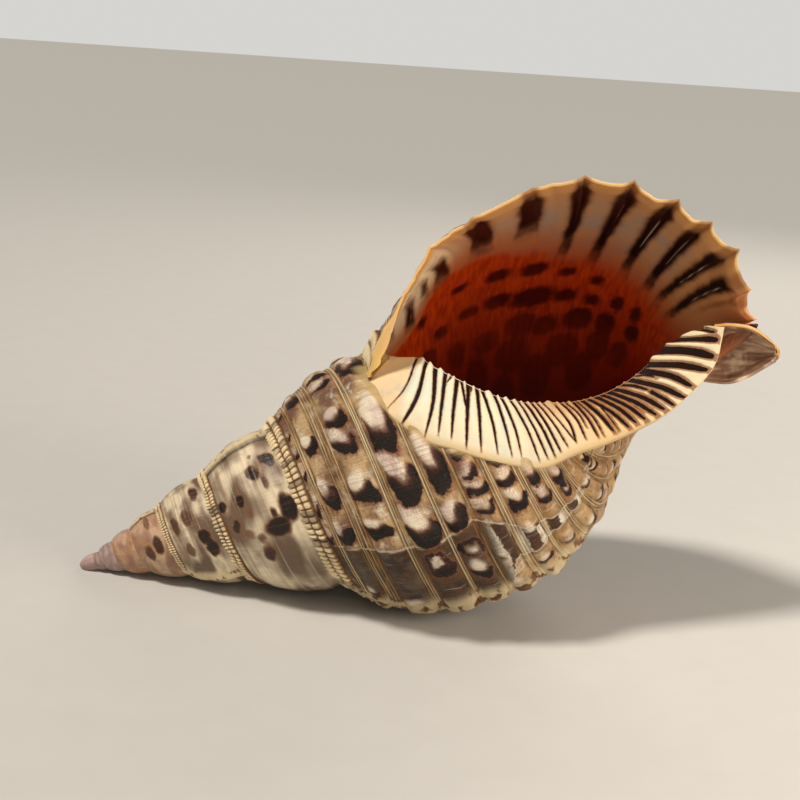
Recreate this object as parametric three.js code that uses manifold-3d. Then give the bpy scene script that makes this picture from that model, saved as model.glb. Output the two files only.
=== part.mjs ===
// Triton shell, a large sea snail's shell lying on its belly whorl with the mouth turned up and forward.
// Millimetres. +Z is up, X runs from the spire tip to the canal end, the mouth faces the -Y side.
import * as THREE from 'three';
import { mergeVertices } from 'three/addons/utils/BufferGeometryUtils.js';
import Module from 'manifold-3d';

const wasm = await Module();
wasm.setup();
const rad = THREE.MathUtils.degToRad;

// Coiling: each turn is this much larger than the one before
const growthPerTurn = 1.52;
const lipAngle = rad(288);
const turnsModelled = 7;
const tipRadius = 3.2;
const tipStretch = 2;
const tipMiddle = 8.2;
const leanUp = 0.107;
const leanFront = 0.128;

// Attitude at rest
const axisRise = rad(22.45);
const standCut = 0.7;

// Whorl outline at the mouth, from the seam to the canal: distance along the axis, radius
const whorlOutline = [
  [128.5, 37], [131, 43.5], [136, 48.6], [143, 54], [151.5, 59], [162, 63.8], [173, 67], [185, 68.8],
  [200, 69], [214.5, 67.6], [231, 63.4], [244, 55.7], [254.5, 43.8], [260.5, 31.3], [266, 21.3],
  [269, 13.5], [270, 6.3],
];

// Spiral grooves between the cords: place along the outline, width
const grooves = [
  [4, 2], [12, 1.8], [17, 1.8], [23, 4], [37.5, 6], [58, 4.5], [76.5, 4], [91, 3.6], [105.5, 4.6],
  [120, 4.4], [132.5, 4.4], [145.5, 4.4], [158.5, 4], [168, 3.4], [178, 3.4],
];
const canalSideGroove = 4;

// Cords: height, and how far from a groove they reach it; on the first turns they are still flat
const cordHeight = 2;
const cordShoulder = 2;
const cordShoulderStart = 0.2;
const cordsStartTurn = -5;
const cordsGrowTurns = 2.5;

// Ridges left by older lips, in turns back from the mouth
const oldLips = [-0.62, -1.31, -2, -2.66, -3.33];
const oldLipHeight = 2.8;
const oldLipRun = 0.075;
const oldLipDrop = 0.012;
const oldLipCurve = 1.5;

// Where along the outline an old lip rises behind the seam, and where it fades toward the canal
const oldLipRise = { from: 6, length: 8 };
const oldLipFade = { from: 110, length: 40, share: 0.8 };

// Outer lip
const flareTurns = 0.17;
const flareCurve = 2.6;
const lipSmoothing = 0.4;
const scallopDepth = 2.2;
const scallopRoundness = 0.7;
const scallopCord = { from: 5, length: 6 };
const lipThickness = 3;
const wallThickness = 3.6;

// Lip edge: outline place, distance along the axis, height, reach forward
const lipEdge = [
  [0, 133.3, 39.7, 24], [4, 135.1, 42.5, 25.5], [10, 137.7, 46.4, 27], [17, 141.2, 51, 28.5],
  [23, 145.8, 55.8, 29.5], [37.5, 155.7, 65.2, 30.5], [58, 169.2, 77.3, 30.6], [76.5, 186, 82, 29.5],
  [91, 206.6, 85, 28.3], [105.5, 224, 83, 26.8], [120, 239, 76, 23.7], [132.5, 251.7, 65.3, 19],
  [145.5, 260.4, 54, 14.5], [158.5, 266.8, 41.6, 11.5], [168, 267.4, 26.7, 9.2], [178, 266.5, 15.7, 7.7],
  [193, 262, 9, 5],
];

// Hollow of the mouth: how far back it is open and how its blind end closes
const hollowTurns = 0.8;
const hollowEndTurns = 0.12;
const hollowEndSize = 0.3;

// Places along the outline that shape the hollow's outer side; the wall is thinner on the canal side
const hollowRuns = [
  11, 17, 24, 30, 37.5, 47, 58, 67, 76.5, 84, 91, 98, 105.5, 113, 120, 126, 132.5, 139, 145.5, 152,
  158.5, 164, 170,
];
const canalSideRun = 130;
const canalSideThinning = 0.85;
const smallestWallScale = 0.3;

// Past the lip the hollow goes on a little and widens, so that the whole mouth is open
const pastLipTurns = [0, 0.04, 0.1];
const pastLipWidening = 0.6;
const pastLipGrowth = 0.4;

// Inner side of the hollow along the pillar, from the canal to the back corner: along the axis, radius
const hollowSide = [
  [262, 14], [255, 7], [240, 3], [222, 1.5], [205, 1], [190, 2], [180, 5.5], [172, 11.5], [163, 20.5],
  [154, 30], [145, 37], [139, 42],
];
const sideRuns = [175, 12];

// The pillar keeps this much thicker, deeper in
const pillarGrowth = 5;
const pillarGrowthTurn = 0.05;
const pillarGrowthPlace = { from: 165, length: 30 };

// Inner lip, from the back corner of the mouth to the canal: outer edge, middle and inner edge
const innerLip = [
  [[133, 38, 25], [138, 40.6, 21.7], [142.5, 42.8, 16.2]],
  [[139.5, 28.5, 37.7], [146.2, 35, 31.1], [152.5, 40.4, 19.6]],
  [[148.5, 18.7, 44.6], [153.5, 28.3, 37.4], [157.5, 36.7, 25.3]],
  [[156.5, 13.5, 46.4], [160.2, 23, 40], [163.7, 31.7, 29.6]],
  [[165, 7.5, 46.6], [167, 18, 41], [169, 27, 31]],
  [[173.5, 1.6, 44.3], [174.2, 12.2, 39.8], [174, 22.7, 30.7]],
  [[183, -4, 38.6], [182, 7.4, 34.5], [180.4, 17.5, 27]],
  [[194.5, -4, 33.5], [192, 4.6, 29.2], [189.7, 13, 23.3]],
  [[204.7, -4.9, 29], [202, 2.6, 25.3], [199.5, 9.8, 20]],
  [[216, -4.8, 24.5], [213, 2.2, 21.4], [210, 8.9, 16.6]],
  [[228, -3.4, 20], [224, 3.7, 17.5], [220, 10.5, 13.4]],
  [[240.3, 1.2, 15.8], [234.3, 7.7, 14.1], [228.3, 13.9, 10.8]],
  [[248.7, 6.6, 12.5], [242.3, 12.2, 11.6], [236, 17.4, 9]],
  [[252.9, 12.9, 10.2], [249.8, 15.7, 10], [246.9, 18.1, 8.2]],
];

// Rise of the glaze across its width, and the folds on it, which start a little past the back corner
const glazeRise = [0.2, 0.9, 1.1, 0.7, 0.1];
const foldHeight = 0.9;
const foldsFrom = 0.5;

// Outer edge of the inner lip, which stands free of the whorl from this station on
const freeEdgeFrom = 6;
const freeEdgeStations = 2;
const freeEdgeThickness = 3.4;
const freeEdgeTuck = 0.45;

// Back of the inner lip: how far its corners lie behind the front, inside the shell
const innerEdgeSink = [0, -4, -5];
const rootPlace = [-2, 0, 0];
const pillarPlace = [0, -5, 2];
const pillarDrop = 2;
const outerEdgeSink = { up: 1.5, front: 4 };
const outerRimSink = { up: 0.6, front: 2.6 };

// Canal end, a spoon open to the front: lower edge, floor and upper edge
const canalEnd = [
  [[243, 0.5, 8], [244, 1, 1], [245.5, 7, -4.5], [247, 13.5, 1], [248.5, 18.5, 10.5]],
  [[251.2, -3, 7], [252.5, -1.5, 0], [254, 5, -4.5], [255.8, 12, 0.5], [257, 15.9, 9.6]],
  [[259, -3, 6], [260, -1.8, 1], [261.5, 3, -2.5], [263, 9, 1.5], [264.5, 11.6, 7.6]],
  [[267, -1.3, 3.9], [269.2, -0.6, 3], [270.8, 0.8, 2.8], [270.9, 2.4, 3.2], [270.3, 4.2, 4.2]],
];
const canalThickness = 2.6;
const spoonMiddle = [6.5, 9];
const spoonOutward = 3;
const canalOpening = 30;

// Edge of the inner lip's glaze over the older whorl: outline place, turns back from the mouth
const glazeEdge = [
  [68, -0.96], [75, -0.905], [85, -0.865], [95, -0.845], [115, -0.818], [134, -0.783], [193, -0.74],
];
const glazeSink = 0.8;
const glazeFadeTurns = 0.025;
const glazeFade = { from: 70, length: 8 };

// Mesh fineness
const wedgesPerTurn = 3;
const stepsPerTurn = 22;
const leastStepTurns = 0.004;
const leastStepShare = 0.3;
const flareSteps = [-0.13, -0.095, -0.065, -0.04, -0.02];
const nearLipStep = -0.008;
const grooveMargin = 0.2;
const wideCord = 8;
const wedgeAxis = { start: 0.8, end: 0.96 };
const innerLipSteps = 4;
const canalSteps = { along: 10, across: 8 };
const tipFineness = 12;
const outlineFineness = 600;
const simplifyTolerance = 0.23;
const snapDistance = 0.01;
const partDistance = 0.04;

// Smooth curve through points, for a place t counted in points
function curveAt(points, t) {
  const last = points.length - 1;
  const i = Math.min(Math.max(Math.floor(t), 0), last - 1);
  const x = t - i;
  const size = points[0].length;
  const result = [];
  for (let k = 0; k < size; k += 1) {
    const p1 = points[i][k];
    const p2 = points[i + 1][k];
    const p0 = i > 0 ? points[i - 1][k] : 2 * p1 - p2;
    const p3 = i + 2 <= last ? points[i + 2][k] : 2 * p2 - p1;
    const cubic = -p0 + 3 * p1 - 3 * p2 + p3;
    const square = 2 * p0 - 5 * p1 + 4 * p2 - p3;
    result.push(0.5 * (2 * p1 + (p2 - p0) * x + square * x * x + cubic * x * x * x));
  }
  return result;
}

function ease(x) {
  const t = Math.min(Math.max(x, 0), 1);
  return t * t * (3 - 2 * t);
}

// Rise from 0 to 1 that starts at a place and takes a length
function easeOver(x, { from, length }) {
  return ease((x - from) / length);
}

// Whorl outline measured by its own length
const outline = [];
for (let i = 0; i <= outlineFineness; i += 1) {
  const [along, radius] = curveAt(whorlOutline, (i * (whorlOutline.length - 1)) / outlineFineness);
  const before = outline[i - 1];
  const run = before ? before.run + Math.hypot(along - before.along, radius - before.radius) : 0;
  outline.push({ run, along, radius });
}
const outlineLength = outline[outlineFineness].run;

function outlineAt(run) {
  let low = 0;
  let high = outlineFineness;
  while (high - low > 1) {
    const mid = (low + high) >> 1;
    if (outline[mid].run > run) high = mid;
    else low = mid;
  }
  const a = outline[low];
  const b = outline[high];
  const w = Math.min(Math.max((run - a.run) / (b.run - a.run), 0), 1);
  const length = Math.hypot(b.along - a.along, b.radius - a.radius);
  return {
    along: a.along + (b.along - a.along) * w,
    radius: a.radius + (b.radius - a.radius) * w,
    outAlong: -(b.radius - a.radius) / length,
    outRadius: (b.along - a.along) / length,
  };
}

// Nearest groove and the two grooves on either side of a place
function cordAt(run) {
  let before = [0, 0];
  let after = [outlineLength + canalSideGroove, 0];
  for (const groove of grooves) {
    if (groove[0] <= run && groove[0] >= before[0]) before = groove;
    if (groove[0] > run && groove[0] < after[0]) after = groove;
  }
  const clear = Math.min(run - before[0] - before[1] / 2, after[0] - after[1] / 2 - run);
  const across = (run - before[0]) / (after[0] - before[0]);
  return { clear, across, width: after[0] - before[0] };
}

// How far a place lies under the inner lip's glaze, from 0 to 1
function underGlaze(turn, run) {
  let i = 0;
  while (i < glazeEdge.length - 2 && glazeEdge[i + 1][0] < run) i += 1;
  const [fromRun, fromTurn] = glazeEdge[i];
  const [toRun, toTurn] = glazeEdge[i + 1];
  const edge = THREE.MathUtils.mapLinear(run, fromRun, toRun, fromTurn, toTurn);
  return ease((edge - turn) / glazeFadeTurns) * easeOver(run, glazeFade);
}

// Height of the shell surface above the smooth whorl
function reliefAt(turn, run) {
  const cords = cordHeight * ease(cordAt(run).clear / cordShoulder + cordShoulderStart);
  let ridge = 0;
  for (const lip of oldLips) {
    const behind = lip - turn;
    if (behind >= 0 && behind < oldLipRun) ridge += oldLipHeight * (1 - behind / oldLipRun) ** oldLipCurve;
    if (behind < 0 && behind > -oldLipDrop) ridge += oldLipHeight * (1 + behind / oldLipDrop);
  }
  const onShoulder = easeOver(run, oldLipRise) * (1 - oldLipFade.share * easeOver(run, oldLipFade));
  const relief = cords * ease((turn - cordsStartTurn) / cordsGrowTurns) + ridge * onShoulder;
  const covered = underGlaze(turn, run);
  return relief * (1 - covered) - glazeSink * covered;
}

// Lip edge for an outline place
function lipEdgeAt(run) {
  let i = 0;
  while (i < lipEdge.length - 2 && lipEdge[i + 1][0] < run) i += 1;
  const w = Math.min(Math.max((run - lipEdge[i][0]) / (lipEdge[i + 1][0] - lipEdge[i][0]), 0), 1);
  const [, along, up, front] = curveAt(lipEdge, i + w);
  const cord = cordAt(run);
  const scallop = Math.sin(Math.PI * cord.across) ** scallopRoundness;
  const dip = scallopDepth * scallop * easeOver(cord.width, scallopCord);
  const fromAxis = Math.hypot(up, front);
  return { along, radius: fromAxis - dip, angle: Math.atan2(-up, front) };
}

// Point on the outer face, or set in below it, in shell axes: along the axis, up, front
function shellPoint(turn, run, inset) {
  const place = outlineAt(run);
  const edge = lipEdgeAt(run);
  const nearLip = Math.min(Math.max((turn + flareTurns) / flareTurns, 0), 1);
  const shift = (edge.angle + 2 * Math.PI - lipAngle) / (2 * Math.PI);
  const trueTurn = turn + shift * ease(nearLip);
  const size = growthPerTurn ** trueTurn;
  const angle = lipAngle + 2 * Math.PI * trueTurn;
  const relief = reliefAt(trueTurn, run) * (1 - lipSmoothing * nearLip);
  const lift = relief - inset / Math.max(size, smallestWallScale);
  let along = (place.along + place.outAlong * lift) * size;
  let radius = (place.radius + place.outRadius * lift) * size;
  along += radius * (leanFront * Math.cos(angle) - leanUp * Math.sin(angle));
  const lipSize = growthPerTurn ** shift;
  const lipLean = leanFront * Math.cos(edge.angle) - leanUp * Math.sin(edge.angle);
  const spread = nearLip ** flareCurve;
  along += (edge.along - (place.along + place.radius * lipLean) * lipSize) * spread;
  radius += (edge.radius - place.radius * lipSize) * spread;
  return [along, -radius * Math.sin(angle), radius * Math.cos(angle)];
}

function middleOf(ring) {
  return [0, 1, 2].map((k) => ring.reduce((sum, p) => sum + p[k], 0) / ring.length);
}

// Closed body from rings of points, each ring a closed loop, the ends filled around their middles
function bodyFromRings(rings) {
  const points = [];
  const triangles = [];
  const count = rings[0].length;
  rings.forEach((ring) => ring.forEach((p) => points.push(...p)));
  for (let i = 0; i + 1 < rings.length; i += 1) {
    for (let j = 0; j < count; j += 1) {
      const a = i * count + j;
      const b = i * count + ((j + 1) % count);
      triangles.push(a, b, a + count, b, b + count, a + count);
    }
  }
  const lastStart = (rings.length - 1) * count;
  const firstMiddle = rings.length * count;
  points.push(...middleOf(rings[0]), ...middleOf(rings[rings.length - 1]));
  for (let j = 0; j < count; j += 1) {
    const next = (j + 1) % count;
    triangles.push(firstMiddle, next, j, firstMiddle + 1, lastStart + j, lastStart + next);
  }
  return solidFrom(points, triangles);
}

// Solid with its faces turned outward
function solidFrom(points, triangles) {
  let volume = 0;
  const at = (i) => new THREE.Vector3(points[3 * i], points[3 * i + 1], points[3 * i + 2]);
  for (let i = 0; i < triangles.length; i += 3) {
    volume += at(triangles[i]).dot(at(triangles[i + 1]).cross(at(triangles[i + 2])));
  }
  if (volume < 0) {
    for (let i = 0; i < triangles.length; i += 3) {
      [triangles[i + 1], triangles[i + 2]] = [triangles[i + 2], triangles[i + 1]];
    }
  }
  const mesh = new wasm.Mesh({
    numProp: 3,
    vertProperties: new Float32Array(points),
    triVerts: new Uint32Array(triangles),
  });
  mesh.merge();
  return new wasm.Manifold(mesh);
}

// Triangles that fill a flat loop given as pairs, turned the way the loop runs
function fillLoop(loop) {
  const flat = loop.map((p) => new THREE.Vector2(p[0], p[1]));
  const found = THREE.ShapeUtils.triangulateShape(flat, []);
  const turn = found.reduce((sum, corners) => sum + THREE.ShapeUtils.area(corners.map((k) => flat[k])), 0);
  const sameTurn = turn * THREE.ShapeUtils.area(flat) > 0;
  return found.map(([a, b, c]) => (sameTurn ? [a, b, c] : [a, c, b]));
}

// Outline places that catch every cord and groove
function outlineStops(upTo) {
  const stops = [0];
  grooves.forEach(([middle, width], i) => {
    const next = grooves[i + 1] ? grooves[i + 1][0] : outlineLength;
    stops.push(middle - width / 2 - grooveMargin, middle, middle + width / 2 + grooveMargin);
    if (next - middle > wideCord) stops.push((middle + next) / 2);
  });
  stops.push(outlineLength);
  return stops.filter((run) => run <= upTo);
}

// One wedge of filled whorl between two places along the coil, closed along the shell axis
function whorlWedge(fromTurn, toTurn, stops, extraTurns) {
  const size = growthPerTurn ** fromTurn;
  const axisStart = [whorlOutline[0][0] * size * wedgeAxis.start, 0, 0];
  const axisEnd = [whorlOutline[whorlOutline.length - 1][0] * size * wedgeAxis.end, 0, 0];
  const steps = Math.max(Math.round((toTurn - fromTurn) * stepsPerTurn), 1);
  const [first, last] = [fromTurn + leastStepTurns, toTurn - leastStepTurns];
  const turns = extraTurns.filter((turn) => turn > first && turn < last);
  for (let i = 1; i < steps; i += 1) {
    const turn = fromTurn + ((toTurn - fromTurn) * i) / steps;
    if (!turns.some((other) => Math.abs(other - turn) < leastStepShare / stepsPerTurn)) turns.push(turn);
  }
  turns.push(fromTurn, toTurn);
  turns.sort((a, b) => a - b);
  const points = [...axisStart, ...axisEnd];
  const triangles = [];
  const count = stops.length;
  turns.forEach((turn) => stops.forEach((run) => points.push(...shellPoint(turn, run, 0))));
  for (let i = 0; i + 1 < turns.length; i += 1) {
    const row = 2 + i * count;
    for (let j = 0; j + 1 < count; j += 1) {
      const a = row + j;
      triangles.push(a, a + 1, a + count, a + 1, a + count + 1, a + count);
    }
    triangles.push(0, row, row + count);
    triangles.push(1, row + 2 * count - 1, row + count - 1);
  }
  [0, turns.length - 1].forEach((i) => {
    const row = 2 + i * count;
    const loop = [[axisStart[0], 0]];
    for (let j = 0; j < count; j += 1) {
      const p = row + j;
      loop.push([points[3 * p], Math.hypot(points[3 * p + 1], points[3 * p + 2])]);
    }
    loop.push([axisEnd[0], 0]);
    const index = (k) => (k === 0 ? 0 : k === count + 1 ? 1 : row + k - 1);
    fillLoop(loop).forEach(([a, b, c]) => {
      if (i === 0) triangles.push(index(a), index(c), index(b));
      else triangles.push(index(a), index(b), index(c));
    });
  });
  return solidFrom(points, triangles);
}

// The whole coil, filled; the flare and the tops of the older lips have stations of their own
function filledShell() {
  const wedges = [];
  const allStops = outlineStops(outlineLength);
  const ridgeTurns = oldLips.flatMap((lip) => [lip - oldLipRun / 2, lip, lip + oldLipDrop]);
  const ownTurns = [...ridgeTurns, ...flareSteps, nearLipStep];
  for (let i = 0; i < turnsModelled * wedgesPerTurn; i += 1) {
    const toTurn = -i / wedgesPerTurn;
    const fromTurn = -(i + 1) / wedgesPerTurn;
    wedges.push(whorlWedge(fromTurn, toTurn, allStops, ownTurns));
  }
  return wasm.Manifold.union(wedges);
}

// Blunt worn tip of the spire
function spireTip() {
  return wasm.Manifold.sphere(tipRadius, tipFineness).scale([tipStretch, 1, 1]).translate([tipMiddle, 0, 0]);
}

// Outer side of the hollow at a turn: the shell's outer face set in by the wall
function hollowOuterSide(turn) {
  const past = Math.max(turn, 0);
  const thickness = wallThickness + (lipThickness - wallThickness) * ease(1 + turn / flareTurns);
  return hollowRuns.map((run) => {
    const inset = thickness * (run > canalSideRun ? canalSideThinning : 1);
    const [along, up, front] = shellPoint(Math.min(turn, 0), run, inset);
    const angle = Math.atan2(-up, front) + past * 2 * Math.PI;
    const radius = Math.hypot(up, front) * (1 + past * pastLipWidening);
    return [along, -radius * Math.sin(angle), radius * Math.cos(angle)];
  });
}

// Inner side of the hollow at a turn, which keeps clear of the pillar
function hollowInnerSide(turn) {
  const inside = Math.min(turn, 0);
  const nearLip = Math.min(Math.max((inside + flareTurns) / flareTurns, 0), 1);
  return hollowSide.map(([along, radius], i) => {
    const back = i / (hollowSide.length - 1);
    const edge = lipEdgeAt(THREE.MathUtils.lerp(...sideRuns, back));
    const shift = ((edge.angle + 2 * Math.PI - lipAngle) / (2 * Math.PI)) * ease(nearLip);
    const trueTurn = inside + shift + Math.max(turn, 0) * pastLipGrowth;
    const size = growthPerTurn ** trueTurn;
    const angle = lipAngle + 2 * Math.PI * trueTurn;
    const pillar = pillarGrowth * Math.max(-turn - pillarGrowthTurn, 0) * easeOver(along, pillarGrowthPlace);
    const fromAxis = radius * size + pillar;
    const lean = fromAxis * (leanFront * Math.cos(angle) - leanUp * Math.sin(angle));
    return [along * size + lean, -fromAxis * Math.sin(angle), fromAxis * Math.cos(angle)];
  });
}

// The hollow, a swept bag that opens past the lip
function mouthHollow() {
  const turns = [];
  for (let turn = -hollowTurns; turn < -flareTurns; turn += 1 / stepsPerTurn) turns.push(turn);
  turns.push(-flareTurns, ...flareSteps, ...pastLipTurns);
  return bodyFromRings(turns.map((turn) => {
    const closing = ease((turn + hollowTurns) / hollowEndTurns) * (1 - hollowEndSize) + hollowEndSize;
    const ring = [...hollowOuterSide(turn), ...hollowInnerSide(turn)];
    const centre = middleOf(ring);
    return ring.map((p) => p.map((v, k) => centre[k] + (v - centre[k]) * closing));
  }));
}

// Inner lip: a thick glaze on the older whorl that grows into a free, folded plate
function innerLipBody() {
  const rings = [];
  const lastStation = innerLip.length - 1;
  for (let i = 0; i <= lastStation * innerLipSteps; i += 1) {
    const t = i / innerLipSteps;
    const free = ease((t - freeEdgeFrom) / freeEdgeStations);
    const fold = foldHeight * Math.cos(Math.PI * i) * ease(t - foldsFrom);
    const row = [0, 1, 2].map((k) => curveAt(innerLip.map((station) => station[k]), t));
    const front = [row[0], curveAt(row, 0.5), row[1], curveAt(row, 1.5), row[2]];
    const ring = front.map(([along, up, forward], j) => {
      const lift = 1 + (glazeRise[j] + (j > 0 ? fold : 0)) / Math.hypot(up, forward);
      return [along, up * lift, forward * lift];
    });
    const [outer, inner] = [row[0], row[2]];
    const rootAlong = (outer[0] + inner[0]) / 2;
    const below = free * (freeEdgeThickness - 1);
    const tucked = outer[2] * (1 - freeEdgeTuck * free);
    ring.push(inner.map((v, k) => v + innerEdgeSink[k]));
    ring.push([rootAlong + rootPlace[0], rootPlace[1], rootPlace[2]]);
    ring.push([rootAlong + pillarPlace[0], pillarPlace[1] - pillarDrop * free, pillarPlace[2]]);
    ring.push([outer[0], outer[1] - outerEdgeSink.up - below, tucked - outerEdgeSink.front * (1 - free)]);
    ring.push([outer[0], outer[1] - outerRimSink.up - below, outer[2] - outerRimSink.front]);
    rings.push(ring);
  }
  return bodyFromRings(rings);
}

// Spoon-shaped end of the canal: a net of points, and the same net moved away from it
function canalBody(moved) {
  const { along: alongSteps, across: acrossSteps } = canalSteps;
  const top = [];
  for (let i = 0; i <= alongSteps; i += 1) {
    const t = (i * (canalEnd.length - 1)) / alongSteps;
    const row = canalEnd[0].map((_, k) => curveAt(canalEnd.map((station) => station[k]), t));
    for (let j = 0; j <= acrossSteps; j += 1) top.push(curveAt(row, (j * (row.length - 1)) / acrossSteps));
  }
  const points = [...top, ...top.map(moved)].flat();
  const triangles = [];
  const width = acrossSteps + 1;
  const offset = top.length;
  for (let i = 0; i < alongSteps; i += 1) {
    for (let j = 0; j < acrossSteps; j += 1) {
      const a = i * width + j;
      triangles.push(a, a + 1, a + width, a + 1, a + width + 1, a + width);
      triangles.push(offset + a, offset + a + width, offset + a + 1);
      triangles.push(offset + a + 1, offset + a + width, offset + a + width + 1);
    }
  }
  const rimPath = [];
  for (let j = 0; j < acrossSteps; j += 1) rimPath.push(j);
  for (let i = 0; i < alongSteps; i += 1) rimPath.push(i * width + acrossSteps);
  for (let j = acrossSteps; j > 0; j -= 1) rimPath.push(alongSteps * width + j);
  for (let i = alongSteps; i > 0; i -= 1) rimPath.push(i * width);
  rimPath.forEach((a, k) => {
    const b = rimPath[(k + 1) % rimPath.length];
    triangles.push(a, offset + a, b, b, offset + a, offset + b);
  });
  return solidFrom(points, triangles);
}

function canalEndBody() {
  return canalBody(([along, up, front]) => {
    const away = new THREE.Vector3(spoonOutward, up - spoonMiddle[0], front - spoonMiddle[1]).normalize();
    return [along + away.x * canalThickness, up + away.y * canalThickness, front + away.z * canalThickness];
  });
}

function canalHollow() {
  return canalBody(([along, up, front]) => [along, up, front + canalOpening]);
}

// Shell axes to world: the axis rises by axisRise, front is -Y
function toWorld(solid) {
  const c = Math.cos(axisRise);
  const s = Math.sin(axisRise);
  return solid.warp((p) => {
    const [along, up, front] = p;
    p[0] = along * c - up * s;
    p[1] = -front;
    p[2] = along * s + up * c;
  });
}

function largestPiece(solid) {
  return solid.decompose().sort((a, b) => b.volume() - a.volume())[0];
}

function geometryOf(solid) {
  const mesh = solid.getMesh();
  const geometry = new THREE.BufferGeometry();
  geometry.setAttribute('position', new THREE.BufferAttribute(new Float32Array(mesh.vertProperties), 3));
  geometry.setIndex(new THREE.BufferAttribute(new Uint32Array(mesh.triVerts), 1));
  return geometry;
}

// Same solid with points closer than the snap distance made one
function withoutSlivers(solid) {
  const merged = mergeVertices(geometryOf(solid), snapDistance);
  const corners = Array.from(merged.index.array);
  const triangles = [];
  for (let i = 0; i < corners.length; i += 3) {
    const [a, b, c] = corners.slice(i, i + 3);
    if (a !== b && b !== c && c !== a) triangles.push(a, b, c);
  }
  return largestPiece(solidFrom(Array.from(merged.attributes.position.array), triangles));
}

// Points that lie on one another are drawn apart, each toward its own neighbours
function partDoubledPoints(geometry) {
  const position = geometry.attributes.position;
  const corners = geometry.index.array;
  const at = (i) => new THREE.Vector3().fromBufferAttribute(position, i);
  const places = new Map();
  for (let i = 0; i < position.count; i += 1) {
    const key = at(i).divideScalar(snapDistance).round().toArray().join();
    places.set(key, [...(places.get(key) || []), i]);
  }
  const doubled = [...places.values()].filter((list) => list.length > 1).flat();
  const drawn = doubled.map((point) => {
    const middle = new THREE.Vector3();
    let count = 0;
    for (let i = 0; i < corners.length; i += 3) {
      const face = [corners[i], corners[i + 1], corners[i + 2]];
      if (!face.includes(point)) continue;
      face.forEach((corner) => middle.add(at(corner)));
      count += 3;
    }
    const toward = middle.divideScalar(count).sub(at(point));
    return at(point).addScaledVector(toward.normalize(), partDistance);
  });
  doubled.forEach((point, i) => position.setXYZ(point, ...drawn[i].toArray()));
}

function shellGeometry() {
  const hollows = wasm.Manifold.union([mouthHollow(), canalHollow()]);
  const carved = wasm.Manifold.union([filledShell(), spireTip()]).subtract(hollows);
  let body = toWorld(wasm.Manifold.union([carved, innerLipBody(), canalEndBody()]));
  const box = body.boundingBox();
  const floor = box.min[2] + standCut;
  body = body.trimByPlane([0, 0, 1], floor);
  const trimmed = body.boundingBox();
  const middle = [0, 1].map((k) => (trimmed.min[k] + trimmed.max[k]) / 2);
  body = body.translate([-middle[0], -middle[1], -floor]);
  body = withoutSlivers(largestPiece(body).simplify(simplifyTolerance));
  const geometry = geometryOf(body);
  partDoubledPoints(geometry);
  geometry.computeVertexNormals();
  return geometry;
}

const group = new THREE.Group();
group.name = 'triton_shell';
const shellMaterial = new THREE.MeshStandardMaterial({ color: 0xe6d3b3, roughness: 0.4, metalness: 0 });
shellMaterial.name = 'natural_shell';
const shell = new THREE.Mesh(shellGeometry(), shellMaterial);
shell.name = 'shell';
group.add(shell);

export default group;
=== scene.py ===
import math

import bpy
import numpy as np
from mathutils import Matrix, Vector


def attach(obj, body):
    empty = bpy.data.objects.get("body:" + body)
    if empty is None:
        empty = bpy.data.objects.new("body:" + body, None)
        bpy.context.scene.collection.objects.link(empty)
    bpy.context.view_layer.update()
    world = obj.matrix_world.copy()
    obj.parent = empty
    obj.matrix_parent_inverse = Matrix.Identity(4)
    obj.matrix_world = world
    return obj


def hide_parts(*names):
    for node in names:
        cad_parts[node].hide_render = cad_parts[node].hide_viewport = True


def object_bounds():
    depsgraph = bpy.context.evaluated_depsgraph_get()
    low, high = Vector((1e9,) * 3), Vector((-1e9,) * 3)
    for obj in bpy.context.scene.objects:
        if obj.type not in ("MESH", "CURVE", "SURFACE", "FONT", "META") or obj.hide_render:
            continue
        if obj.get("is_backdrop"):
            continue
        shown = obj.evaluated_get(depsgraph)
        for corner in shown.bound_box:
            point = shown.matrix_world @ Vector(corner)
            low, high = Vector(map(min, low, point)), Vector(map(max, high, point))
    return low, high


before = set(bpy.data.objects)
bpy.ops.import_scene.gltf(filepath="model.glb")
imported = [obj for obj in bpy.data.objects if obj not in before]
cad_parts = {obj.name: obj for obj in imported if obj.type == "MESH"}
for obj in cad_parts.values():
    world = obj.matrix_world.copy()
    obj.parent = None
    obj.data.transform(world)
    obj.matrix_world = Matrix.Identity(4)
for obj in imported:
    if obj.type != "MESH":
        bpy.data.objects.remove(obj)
cadLow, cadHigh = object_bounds()
# the worn places where the shell lies, and its outermost points, stay inside this box in mm
boxLow = np.array(cadLow) * 1000 + 0.05
boxHigh = np.array(cadHigh) * 1000 - 0.05

# A large triton shell. A place on it is a turn (0 at the mouth, counted back) and a run in mm
# along the whorl's outline, from the seam to the canal.
coil = {
    "growth": 1.52,                     # each turn is this much larger than the last
    "lipAngle": math.radians(288),
    "leanUp": 0.107,
    "leanFront": 0.128,
    "rise": math.radians(22.45),        # how steeply the axis lies
    "offset": (-126.537, -6.119, 0.342),
}

outlinePoints = [
    (128.5, 37), (131, 43.5), (136, 48.6), (143, 54), (151.5, 59), (162, 63.8), (173, 67), (185, 68.8),
    (200, 69), (214.5, 67.6), (231, 63.4), (244, 55.7), (254.5, 43.8), (260.5, 31.3), (266, 21.3),
    (269, 13.5), (270, 6.3),
]

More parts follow.
